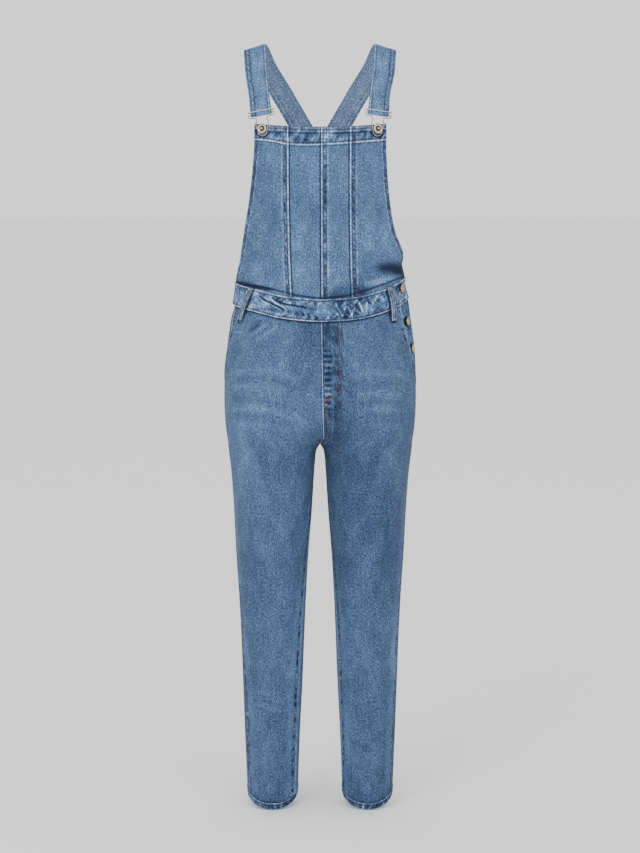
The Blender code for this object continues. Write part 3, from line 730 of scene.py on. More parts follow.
def bartack(centre, normal, along, length=7.0, width=1.7):
    """A short, dense bar of thread, as zigzag lines beside each other."""
    across = unit(np.cross(normal, along))
    runs = []
    count = int(length / BARTACK_STEP)
    for k in range(count):
        middle = centre + along * (k - (count - 1) / 2) * BARTACK_STEP
        reach = across * (width + BARTACK_OVER)
        line = np.stack([middle - reach, middle + reach])
        runs.append((line, np.stack([normal, normal])))
    return runs


# Materials


def node_material(name):
    made = bpy.data.materials.new(name)
    made.use_nodes = True
    tree = made.node_tree
    return made, tree, tree.nodes["Principled BSDF"]


def add(tree, kind, **values):
    """A new node. A value is a setting, an input's value or a socket to link to the input."""
    node = tree.nodes.new(kind)
    for key, value in values.items():
        if key not in node.inputs:
            setattr(node, key, value)
        elif isinstance(value, bpy.types.NodeSocket):
            tree.links.new(value, node.inputs[key])
        else:
            node.inputs[key].default_value = value
    return node


def maths(tree, operation, a, b):
    node = add(tree, "ShaderNodeMath", operation=operation)
    for socket, value in zip(node.inputs, (a, b)):
        if isinstance(value, (int, float)):
            socket.default_value = value
        else:
            tree.links.new(value, socket)
    return node.outputs[0]


def tint(tree, shader, source, ramp):
    """Colours the shader by a ramp of (place, colour)."""
    colours = tree.nodes.new("ShaderNodeValToRGB")
    while len(colours.color_ramp.elements) < len(ramp):
        colours.color_ramp.elements.new(0.5)
    for element, (place, colour) in zip(colours.color_ramp.elements, ramp):
        element.position = place
        element.color = (*colour, 1)
    tree.links.new(source, colours.inputs[0])
    tree.links.new(colours.outputs[0], shader.inputs["Base Color"])


def emboss(tree, shader, height, strength, distance):
    bump = add(tree, "ShaderNodeBump", Height=height, Strength=strength, Distance=distance)
    tree.links.new(bump.outputs[0], shader.inputs["Normal"])


# The denim's patterns: cells a metre across and along, turn, detail, roughness, share in the colour
GRAINS = {
    "slub": (740, 210, 0, 3.0, 0.62, 1.22),
    "grain": (620, 440, 24, 2.0, 0.7, 1.2),
    "fine": (1500, 900, 30, 1.0, 0.6, 0.62),
    "streaks": (240, 40, 0, 2.0, 0.6, 0.34),
    "clouds": (34, 16, 0, 3.0, 0.55, 0.3),
    "broad_tone": (9, 5, 0, 2.0, 0.5, 0.2),
}
RIBS = (230, 230, 58)
RIBS_SHARE = 0.1
# The share of the points' tone, wear and painted light and shade, in the colour
WEAR_AND_SHADE_SHARE = 0.42
DENIM_SHINE = {"Sheen Weight": 0.03, "Sheen Roughness": 0.6, "Specular IOR Level": 0.1}


def denim_material(name, ramp, wear_and_shade_share=1.0, level=0.5):
    """Stonewashed twill: slubs down the warp, speckle, clouds of wash and the wear and painted light and shade on
    the points.
    """
    made, tree, shader = node_material(name)
    cut = add(tree, "ShaderNodeUVMap", uv_map="cut").outputs[0]

    def stretched(x, y, turn):
        rotation = (0, 0, math.radians(turn))
        return add(tree, "ShaderNodeMapping", Vector=cut, Scale=(x, y, 1), Rotation=rotation).outputs[0]

    def scaled(source, factor):
        return maths(tree, "MULTIPLY", source, factor)

    def plus(a, b):
        return maths(tree, "ADD", a, b)

    patterns, shares = {}, {"ribs": RIBS_SHARE}
    for kind, (x, y, turn, detail, rough, share) in GRAINS.items():
        place = stretched(x, y, turn)
        speckle = add(tree, "ShaderNodeTexNoise", Vector=place, Scale=1.0, Detail=detail, Roughness=rough)
        patterns[kind], shares[kind] = speckle.outputs[0], share
    ribs = add(tree, "ShaderNodeTexWave", Vector=stretched(*RIBS), Scale=1.0, Distortion=1.4, Detail=1.0)
    ribs.inputs["Detail Scale"].default_value = 2.0
    patterns["ribs"] = ribs.outputs["Fac"]
    # the points' tone: wear and painted light and shade
    wear_and_shade = add(tree, "ShaderNodeAttribute", attribute_name="wear_and_shade").outputs["Fac"]

    parts = [scaled(maths(tree, "SUBTRACT", source, 0.5), shares[kind]) for kind, source in patterns.items()]
    parts += [scaled(wear_and_shade, WEAR_AND_SHADE_SHARE * wear_and_shade_share), level]
    total = parts[0]
    for part in parts[1:]:
        total = plus(total, part)
    tint(tree, shader, total, ramp)
    tree.links.new(plus(scaled(patterns["grain"], 0.12), 0.8), shader.inputs["Roughness"])
    for key, value in DENIM_SHINE.items():
        shader.inputs[key].default_value = value
    height = plus(scaled(patterns["ribs"], 0.5), scaled(patterns["slub"], 0.8))
    emboss(tree, shader, plus(height, scaled(patterns["fine"], 0.5)), 0.55, 0.00035)
    return made


DENIM_RAMP = [
    (0.0, (0.008, 0.0145, 0.042)),
    (0.25, (0.026, 0.043, 0.088)),
    (0.5, (0.06, 0.112, 0.216)),
    (0.76, (0.148, 0.266, 0.49)),
    (0.88, (0.25, 0.39, 0.62)),
    (1.0, (0.72, 0.74, 0.75)),
]
INSIDE_RAMP = [
    (0.0, (0.07, 0.1, 0.16)),
    (0.5, (0.19, 0.27, 0.38)),
    (1.0, (0.55, 0.62, 0.7)),
]


def greyed(ramp, share):
    return [(place, tuple(mix(c, 1.04 * colour[1], share) for c in colour)) for place, colour in ramp]


denim = denim_material("Denim", DENIM_RAMP)
denim_inside = denim_material("Denim inside", INSIDE_RAMP, 0.5)
denim_worn = denim_material("Worn denim", greyed(DENIM_RAMP, 0.3))
strap_inside = denim_material("Strap inside", greyed(DENIM_RAMP, 0.25), 1.0, 0.61)


def spotted_material(name, colour, dark, scale, detail, grit, edge):
    """A colour with darker spots, which begin at the edge's place in the noise."""
    made, tree, shader = node_material(name)
    place = add(tree, "ShaderNodeTexCoord").outputs["Object"]
    spots = add(tree, "ShaderNodeTexNoise", Vector=place, Scale=scale, Detail=detail, Roughness=grit)
    tint(tree, shader, spots.outputs[0], [(edge, dark), (1 - edge, colour)])
    return made, tree, shader, spots.outputs[0]


def thread_material(name, colour, dark):
    made, _, shader, _ = spotted_material(name, colour, dark, 420.0, 2.0, 0.5, 0.3)
    shader.inputs["Roughness"].default_value = 0.7
    return made


thread_tan = thread_material("Tan thread", (0.21, 0.125, 0.1), (0.09, 0.062, 0.07))
thread_brown = thread_material("Brown thread", (0.3, 0.15, 0.1), (0.13, 0.07, 0.06))
thread_pale = thread_material("Pale thread", (0.26, 0.22, 0.21), (0.11, 0.11, 0.14))
thread_dark = thread_material("Dark thread", (0.15, 0.12, 0.13), (0.05, 0.06, 0.1))
thread_orange = thread_material("Bartack thread", (0.62, 0.25, 0.08), (0.34, 0.14, 0.06))


def metal_material(name, colour, dark, rough):
    made, tree, shader, spots = spotted_material(name, colour, dark, 260.0, 4.0, 0.7, 0.35)
    roughness = maths(tree, "ADD", maths(tree, "MULTIPLY", spots, 0.2), rough)
    tree.links.new(roughness, shader.inputs["Roughness"])
    shader.inputs["Metallic"].default_value = 1.0
    emboss(tree, shader, spots, 0.2, 0.0002)
    return made


metal = metal_material("Aged nickel", (0.55, 0.49, 0.42), (0.2, 0.17, 0.135), 0.26)
button_metal = metal_material("Worn button metal", (0.72, 0.65, 0.54), (0.36, 0.31, 0.24), 0.24)
bright_metal = metal_material("Bright wire", (0.86, 0.79, 0.77), (0.52, 0.46, 0.44), 0.3)
brass = metal_material("Brushed button metal", (0.62, 0.53, 0.38), (0.34, 0.27, 0.17), 0.32)
patina = metal_material("Dark patina", (0.07, 0.055, 0.04), (0.02, 0.017, 0.014), 0.42)


# Seams and edges


def raised_fold(cloth, d, s, seed, band_width=10.5):
    """The folded edge of a felled seam: a pale ridge, a furrow darkened with painted shade, a mottled band, a pale
    far edge.
    """
    mottle = mottled(s, d, seed, (3.1, 2.6, 0.75), (7.0, 4.0, 0.5))
    long_patch = noise(s / 34.0, 0.5, seed + 2)
    inside = band(d, 5.0, band_width, 1.4)
    cloth.lift += 0.75 * (1 - ease(d / band_width)) + 0.35 * inside + 0.3 * inside * mottle
    cloth.lift -= 0.4 * hump(d, 4.3, 0.8) + 0.3 * hump(d, band_width, 0.6) + 0.9 * hump(d, 0, 0.35)
    ridge = hump(d, 1.7, 1.25) * (0.9 + 0.25 * noise(s / 7, 0.2, seed + 3))
    far = hump(d, band_width + 2.4, 1.5) * (0.8 + 0.6 * noise(s / 16, 0.4, seed + 4))
    # the furrow's dark line is painted shade
    cloth.tone += (
        ridge - 0.95 * hump(d, 4.3, 0.9) + inside * (0.85 * mottle - 0.22 + 0.4 * long_patch)
        - 0.45 * hump(d, band_width - 0.6, 0.9) + 0.5 * far
    )


def under_fold(cloth, d, s, seed):
    """The other side of a felled seam, in the ridge's shadow, with a little pull to it."""
    cloth.lift -= 0.3 * hump(d, 0.6, 1.3)
    cloth.tone += 0.12 * noise(s / 8, d / 6, seed) * hump(d, 0, 6) - 1.75 * hump(d, 0.8, 1.15)


def turned_edge(cloth, d, s, seed, width=9.0, strength=1.0):
    """A double-turned free edge with one row of stitching inside it."""
    mottle = mottled(s, d, seed, (7.5, 5.0, 0.6), (3.6, 3.0, 0.5))
    inside = band(d, 0.6, width, 1.6)
    cloth.lift += 0.9 * (1 - ease((d - width + 2) / 3)) + 0.35 * inside * mottle
    cloth.lift -= 0.35 * hump(d, width - 1.6, 0.7) + 0.7 * hump(d, 0, 0.5)
    cloth.tone += strength * (
        0.3 * hump(d, 0.8, 1.0) + inside * (0.8 * mottle - 0.25) - 0.4 * hump(d, width - 1.8, 1.0)
        + 0.5 * hump(d, width + 0.2, 1.1)
    )


def pull_at_seam(cloth, d, s, seed, reach=9.0, strength=1.0):
    """Short puckers beside a plain seam."""
    cloth.lift += strength * 0.22 * noise(s / 6.5, 0.3, seed) * hump(d, 0, reach)
    cloth.tone += strength * 0.5 * noise(s / 6.5, d / 8.0, seed) * hump(d, 1.0, reach * 0.7)


def marks(cloth, x, z, table):
    """Wear and painted light and shade, placed one by one: x, z, tilt, length, width, lift, tone."""
    for mx, mz, tilt, length, width, lift, tone in table:
        c, s = math.cos(math.radians(tilt)), math.sin(math.radians(tilt))
        along, across = (x - mx) * c + (z - mz) * s, (z - mz) * c - (x - mx) * s
        field = np.exp(-((along / length) ** 4) - (across / width) ** 2)
        cloth.lift += lift * field
        cloth.tone += tone * field


def strokes(cloth, x, z, table, soft=1.0, share=1.0):
    """Creases, given one by one: width, lift, tone and the points of a line along each; their tone is wear and
    painted light and shade.
    """
    for width, lift, tone, line in table:
        near = np.full(x.shape, 1e9)
        for (x0, z0), (x1, z1) in zip(line, line[1:]):
            dx, dz = x1 - x0, z1 - z0
            t = np.clip(((x - x0) * dx + (z - z0) * dz) / (dx * dx + dz * dz), 0, 1)
            near = np.minimum(near, np.hypot(x - x0 - t * dx, z - z0 - t * dz))
        field = np.exp(-((near / (soft * width)) ** 2))
        cloth.lift += lift * field
        cloth.tone += share * tone * field


def ring_shade(cloth, place, radius, width, dark):
    """A painted shadow: a dark ring round a button where it presses into the cloth, and darker cloth under it."""
    away = np.linalg.norm(cloth.p - place, axis=-1)
    cloth.tone -= dark * hump(away, radius, width) + 0.6 * dark * (away < radius)


def side_button_place(number):
    _, angle, z = SIDE_BUTTONS[number]
    lift = LAP + BAND_CLOTH if number == 0 else float(facing_lift(LEFT, angle, np.array(z)))
    return form(LEFT, angle, z, lift)


# Legs

LEG_ROW = 3.4
CROTCH_FADE = 12.0
POCKET_END_Z = -636.0


def leg_levels():
    top = WAIST_TOP_Z - WAISTBAND_HEIGHT + TUCK
    bottom = HEM_Z + HEM_HEIGHT - 1.5
    return np.linspace(top, bottom, int((top - bottom) / LEG_ROW))


def above_crotch(z):
    return ease((z - CROTCH_Z) / CROTCH_FADE + 0.5)


def leg_height(side):
    def height(level, angle):
        top = WAIST_TOP_Z - WAISTBAND_HEIGHT
        at_waist = 1 - ease((top - level) / WAIST_FADE)
        at_hem = 1 - ease((level - HEM_Z - HEM_HEIGHT) / HEM_FADE)
        return level + at_waist * (waist_z(side, angle) - WAIST_TOP_Z) + at_hem * (hem_z(angle) - HEM_Z)

    return height


# Wear and painted light and shade on the fronts: the dark patches beside the crotch and in the lower-leg folds are
# painted shade, and the pale one left of the crotch is painted light against the fold's shading
FRONT_WEAR_AND_SHADE = [
    # x, z, tilt, length, width, lift, tone
    (-112, -523, 38, 20, 2.2, 0.3, 0.5),
    (-100, -531, 36, 22, 2.5, 0.3, 0.45),
    (-122, -520, 40, 16, 3.0, -0.3, -0.35),
    (-38, -684, -42, 26, 1.8, 0.25, 0.4),
    (-32, -700, -58, 22, 1.6, 0.2, 0.3),
    (24, -712, 66, 34, 12, 0.0, -0.2),
    (32, -735, 66, 26, 12, 0.0, -0.14),
    (-34, -722, -58, 34, 14, 0.0, 0.12),
    (-98, -1222, 8, 26, 5, 0.0, 0.14),
    (-92, -1254, -10, 26, 5, 0.0, 0.14),
    (80, -1330, -26, 24, 6, 0.0, -0.2),
    (108, -1316, 34, 24, 6, 0.0, -0.18),
]


# Faded lines across the thighs: width, lift, tone and the points of each; the darker lines lie in shallow troughs
# and are painted shade
WHISKERS = [
    (3.4, 0.15, 0.34, ((-158, -606), (-120, -598), (-80, -600), (-42, -612))),
    (3.0, 0.15, 0.26, ((-164, -634), (-120, -628), (-84, -632), (-56, -640))),
    (3.0, -0.1, -0.2, ((-150, -618), (-110, -614), (-60, -622))),
    (3.2, -0.1, -0.24, ((-160, -656), (-120, -652), (-74, -660), (-50, -668))),
    (3.4, 0.15, 0.3, ((-160, -674), (-118, -668), (-80, -674), (-52, -686))),
    (3.4, 0.15, 0.22, ((-150, -702), (-110, -698), (-70, -706))),
    (3.2, -0.1, -0.16, ((-154, -688), (-110, -684), (-64, -694))),
    (3.4, 0.15, 0.3, ((62, -608), (96, -602), (130, -604), (156, -612))),
    (3.0, 0.15, 0.24, ((70, -642), (104, -640), (150, -648))),
    (3.0, -0.1, -0.22, ((66, -624), (100, -620), (146, -628))),
    (3.0, -0.1, -0.2, ((74, -658), (110, -656), (150, -662))),
    (3.2, 0.15, 0.26, ((70, -674), (104, -668), (148, -676))),
    (3.2, 0.15, 0.2, ((76, -704), (110, -698), (144, -706))),
]


# The garment's broad tone down each leg, mostly darker lower down
BROAD_TONE_COLUMNS = ("z", "right", "left")
BROAD_TONE = [
    (-480, -0.12, -0.17),
    (-590, -0.05, -0.12),
    (-640, -0.06, -0.18),
    (-695, -0.12, -0.30),
    (-780, -0.16, -0.34),
    (-880, -0.18, -0.35),
    (-1000, -0.20, -0.27),
    (-1125, -0.20, -0.20),
    (-1366, -0.25, -0.29),
    (-1460, -0.28, -0.36),
]
BROAD_TONE_AT = sampled(BROAD_TONE, BROAD_TONE_COLUMNS, HEIGHTS)


def broad_tone(cloth):
    """Broad tone, with painted shade round the sides."""
    x, z = cloth.p[..., 0], cloth.z
    facing = np.cos(np.radians(cloth.angle))
    cloth.tone += at_height(BROAD_TONE_AT[SIDE_NAMES[cloth.side]], z)
    # painted shade round the sides
    cloth.tone -= 0.12 * ease(1 - np.abs(facing) * 1.4)
    cloth.tone += mottled(x, z, 11, (46, 90, 0.08), (18, 44, 0.05))


threads_tan, threads_pale, threads_dark, threads_orange, threads_brown = [], [], [], [], []
FLY_OFFSETS = (29.5, 37.0)
FLY_END = 160.0


def fly_curve(offset, depth):
    """How far the fly's curved stitching lies from the middle seam, by the depth below the waist."""
    bend = ((depth - (FLY_END - 55 + offset * 0.35)) / 42).clip(0, 1) ** 2.2
    return offset * np.clip(1 - bend, 0, 1)


def front_leg(side):
    cloth = Cloth(
        side,
        lambda z: inner_angle(side, z, True),
        lambda z: pocket_edge(side, z),
        leg_height(side),
        leg_levels(),
    )
    s, d, e = cloth.from_top, cloth.from_start, cloth.from_end
    x, z = cloth.p[..., 0], cloth.z
    broad_tone(cloth)
    marks(cloth, x, z, FRONT_WEAR_AND_SHADE)
    strokes(cloth, x, z, WHISKERS, 1.7, 0.55)
    above = above_crotch(z)
    if side == LEFT:
        fly = band(d, 1.5, 34, 8) * band(z, -690, -480, 20)
        near = band(d, 2, 16, 3) * band(z, -672, -556, 16)
        steps = 0.5 + 0.5 * np.sin(z / 10.9 * math.tau + 1.2 * noise(z / 22, 0.4, 31))
        ladder = near * steps
        cloth.lift += above * (0.9 * (1 - ease((d - 22) / 3)) * band(z, -688, -470, 10))
        cloth.lift += 0.4 * fly * noise(z / 9, d / 6, 33) + 0.5 * ladder
        cloth.tone += fly * (-0.36 + 0.45 * noise(z / 8, d / 5, 34)) + 1.25 * ladder - 0.62 * near
        # the dark line at the middle seam is painted shadow from the other front's fold
        cloth.tone += above * (0.3 * hump(d, 17.5, 1.6) - 0.7 * hump(d, 0.6, 1.1))
        for offset in FLY_OFFSETS:
            curve = fly_curve(offset, s)
            cloth.tone -= 0.6 * hump(d - curve, 0, 1.1) * ease((FLY_END + 8 - s) / 6) * (curve > 1)
            cloth.tone += 0.3 * hump(d - curve, 1.9, 1.0) * ease((FLY_END + 8 - s) / 6) * (curve > 1)
        low = above * (1 - band(z, -690, -470, 8))
        cloth.tone += low * band(d, 1.5, 9, 2) * (0.5 * noise(z / 7, d / 4, 35) - 0.15)
    else:
        cloth.lift += above * (0.8 * hump(d, 1.0, 1.6) - 0.9 * hump(d, 0, 0.35))
        # the dark line beside the pale ridge is painted shade
        cloth.tone += above * (1.15 * hump(d, 0.9, 0.95) - 0.5 * hump(d, 3.0, 1.0))
        cloth.tone -= 0.14 * band(d, -1, 62, 30) * band(z, -645, -495, 40)
    below = 1 - above
    pucker = mottled(s, d, 40 + side, (6.5, 5, 0.8), (3.4, 3, 0.4), 2)
    strip = band(d, 0.3, 6.5, 1.6) * below
    cloth.lift += 0.5 * strip * (0.4 + 0.5 * pucker)
    blotch = np.clip(2.6 * noise((s + d) / 5.6, 0.4, 44 + side) - 0.1, 0, 1)
    shadow = 2.1 * blotch * hump(d, 5.2, 2.5) + 0.15 * hump(d, 7.2, 1.0)
    cloth.tone += strip * (0.3 * pucker + 0.22) - below * shadow
    cloth.tone += 0.15 * below * (band(d, 9, 24, 8) + band(e, 5, 24, 8))
    at_pocket = ease((z - POCKET_END_Z - 4) / 8 + 0.5)
    edge_mottle = noise(s / 7, e / 4, 50 + side)
    cloth.lift += at_pocket * (0.7 * band(e, 0.4, 8, 1.6) + 0.3 * edge_mottle * band(e, 0, 8, 2))
    cloth.tone += at_pocket * (
        0.75 * hump(e, 0.7, 0.9) + band(e, 1.6, 8, 1.6) * (0.55 * edge_mottle - 0.1) + 0.25 * hump(e, 8.6, 1.2)
    )
    if side == RIGHT:
        dashes = np.clip(np.sin(z / 6.1 * math.tau), 0, 1)
        cloth.tone += at_pocket * (0.6 * hump(e, 1.5, 2.2) - 2.0 * dashes * hump(e, 6.2, 3.0))
    else:
        spots = np.clip(noise(z / 6.5, 0.5, 53) * 1.6, 0, 1)
        cloth.tone += at_pocket * (0.45 * hump(e, 3.0, 2.2) - 1.7 * spots * hump(e, 7.6, 1.8))
    seam = 1 - at_pocket
    side_pucker = noise(s / 6, e / 4, 60 + side)
    cloth.lift += seam * 0.3 * side_pucker * hump(e, 1, 4)
    # the dark line at the side seam is painted shade beside the back leg's raised fold
    cloth.tone += seam * (0.85 * side_pucker * hump(e, 3.0, 3.6) - 1.0 * hump(e, 0.3, 1.3))
    pull_at_seam(cloth, s - TUCK, x, 70 + side, 8.0, 0.7)
    loop_shade(cloth)
    # painted shadow under the waistband's lower edge
    cloth.tone -= 1.4 * hump(s, TUCK + 0.6, 2.0)
    cloth.tone += 0.5 * noise(x / 5.5, 0.4, 72 + side) * hump(cloth.from_bottom, 0, 8)
    # painted shade just above the hem's top fold
    cloth.tone -= 1.2 * hump(cloth.from_bottom, 0.5, 2.2)
    cloth.lift += 0.3 * noise(x / 5.5, 0.4, 72 + side) * hump(cloth.from_bottom, 0, 8)
    cloth.settle()
    name = "front_leg_" + SIDE_NAMES[side]
    shell(name + "_cloth", cloth, CLOTH, [name])
    to_crotch = float(np.interp(-CROTCH_Z, -cloth.z[:, 0], s[:, 0]))
    pocket_end = float(np.interp(-POCKET_END_Z, -cloth.z[:, -1], s[:, -1]))
    threads_pale.append(cloth.down_line(1.6, True, TUCK, pocket_end))
    threads_pale.append(cloth.down_line(7.0, True, TUCK, pocket_end))
    if side == LEFT:
        for offset in FLY_OFFSETS:
            curve = fly_curve(offset, cloth.from_top[:, 0])
            last = FLY_END + (offset - FLY_OFFSETS[0]) * 0.8
            threads_brown.append(cloth.down_line(np.maximum(curve, 1.0), False, TUCK + 1, last))
        threads_tan.append(cloth.down_line(2.2, False, FLY_END - 8, to_crotch - 3))
        threads_tan.append(cloth.down_line(8.0, False, FLY_END - 2, to_crotch - 8))
        for at, drop in ((5.5, FLY_END - 13), (4.5, FLY_END + 3)):
            p, n = cloth.at(at, drop)
            threads_orange.extend(bartack(p, n, np.array([1.0, 0, 0]), 5.5, 1.4))
    threads_tan.append(cloth.down_line(1.9, False, to_crotch + 14, 1e9))


def back_leg(side):
    cloth = Cloth(
        side,
        lambda z: inner_angle(side, z, False),
        lambda z: side_seam(side, z),
        leg_height(side),
        leg_levels(),
    )
    s, d, e = cloth.from_top, cloth.from_start, cloth.from_end
    z = cloth.z
    broad_tone(cloth)
    above = above_crotch(z)
    if side == LEFT:
        mottle = mottled(s, d, 80, (8, 5, 0.7), (4, 3, 0.4))
        cloth.lift += above * (0.7 * (1 - ease(d / 10)) + 0.3 * band(d, 2, 9, 2) * mottle - 0.9 * hump(d, 0, 0.35))
        cloth.tone += above * (1.1 * hump(d, 0.8, 0.9) + band(d, 2, 9, 2) * (0.7 * mottle - 0.15))
    else:
        # painted shade beside the other back's raised seam fold
        cloth.tone -= above * 0.8 * hump(d, 0.4, 1.2)
    below = 1 - above
    pucker = noise(s / 6.5, d / 5, 84 + side)
    cloth.lift += 0.25 * below * pucker * hump(d, 2, 5)
    # the dark line at the inseam's edge is painted shade beside the front's raised strip
    cloth.tone += below * (0.4 * pucker * hump(d, 2, 5) + 0.6 * hump(d, 3, 9) - 0.5 * hump(d, 0.3, 1.0))
    outer = mottled(s, e, 90 + side, (6.5, 5, 0.8), (3.4, 3, 0.4), 2)
    strip = band(e, 0.3, 8, 1.8)
    cloth.lift += strip * (0.35 + 0.3 * outer)
    cloth.tone += strip * (0.9 * outer - 0.24) + 0.55 * hump(e, 0.7, 0.9)
    # painted shadow under the waistband's lower edge
    cloth.tone -= 0.6 * hump(s, TUCK - 1, 2.6)
    x = cloth.p[..., 0]
    cloth.tone += 0.5 * noise(x / 5.5, 0.6, 94 + side) * hump(cloth.from_bottom, 0, 8)
    cloth.tone += 0.2 * hump(z, -690, 60) * np.clip(-np.cos(np.radians(cloth.angle)), 0, 1)
    cloth.settle()
    name = "back_leg_" + SIDE_NAMES[side]
    shell(name + "_cloth", cloth, CLOTH, [name])
    to_crotch = float(np.interp(-CROTCH_Z, -cloth.z[:, 0], s[:, 0]))
    threads_tan.append(cloth.down_line(1.8, True, TUCK, 1e9))
    threads_tan.append(cloth.down_line(7.6, True, TUCK, 1e9))
    if side == LEFT:
        threads_tan.append(cloth.down_line(2.0, False, TUCK, to_crotch - 6))
        threads_tan.append(cloth.down_line(8.0, False, TUCK, to_crotch - 14))


def facing(side):
    top = WAISTBAND_HEIGHT - TUCK
    base = float(waist_z(side, POCKET_TOP_ANGLE[side]))
    levels = np.linspace(base - top, base - top - POCKET_LENGTH - 5, 100)
    cloth = Cloth(
        side,
        lambda z: pocket_edge(side, z) - POCKET_UNDERLAP_ANGLE,
        lambda z: side_seam(side, z) + POCKET_SEAM_LAP_ANGLE,
        lambda level, angle: level + 0 * angle,
        levels,
        step=1.5,
        edge=(5, 5),
    )
    x, z = cloth.p[..., 0], cloth.z
    cloth.lift += facing_lift(side, cloth.angle, z)
    mottle = mottled(z, cloth.from_start, 101 + side, (7, 6, 1.0), (3.6, 4, 0.6), 2)
    cloth.lift += 0.3 * mottle
    cloth.tone += 0.6 * mottle - 0.18
    if side == LEFT:
        cloth.tone += 0.5 * hump(cloth.from_end, 10, 1.4) - 0.5 * hump(cloth.from_end, 12, 1.4)
    cloth.settle()
    if side == LEFT:
        for number in (1, 2):
            ring_shade(cloth, side_button_place(number)[0], 8.0, 1.6, 2.2)
    node = "button_placket" if side == LEFT else "pocket_facing_right"
    shell(node + "_cloth", cloth, FACING_CLOTH, [node])
    threads_pale.append(cloth.down_line(6.0, True))


def hem(side):
    around = 220
    angle = np.arange(around) / around * 360.0
    rows = np.linspace(0, 1, 15)[:, None]
    z = hem_z(angle)[None] + HEM_HEIGHT * (1 - rows)
    angle = np.broadcast_to(angle[None], z.shape).copy()
    p, n = form(side, angle, z, HEM_OUT)
    step = np.linalg.norm(np.roll(p, -1, 1) - p, axis=2)
    run = np.cumsum(step, 1) - step
    cloth = grid_cloth(side, p, n, angle, z, run, run[:, -1:], rows * HEM_HEIGHT, HEM_HEIGHT)
    s, v = cloth.from_start, cloth.from_top
    rope = mottled(s + v * 0.35, v, 110 + side, (3.3, 16, 0.8), (2.3, 12, 0.4), 2)
    cloth.lift += 0.45 * rope * band(v, 1.5, 12.5, 3) - 1.1 * hump(v, 0, 1.2) - 1.0 * hump(v, 13, 1.1)
    # the pale fold edges are wear with painted highlight
    cloth.tone += -0.5 + 1.5 * rope * band(v, 2.5, 12.5, 2.0) + 0.7 * hump(v, 12.6, 1.0) + 1.2 * hump(v, 1.0, 1.1)
    # painted shade beside the stitching
    cloth.tone -= 0.9 * hump(v, 3.4, 0.9)
    cloth.settle()
    node = "hem_" + SIDE_NAMES[side]
    shell(node + "_cloth", cloth, HEM_CLOTH, [node], ring=True)
    line = cloth.p[3], cloth.n[3]
    threads_pale.append(tuple(np.concatenate([a, a[:1]]) for a in line))


# Waist

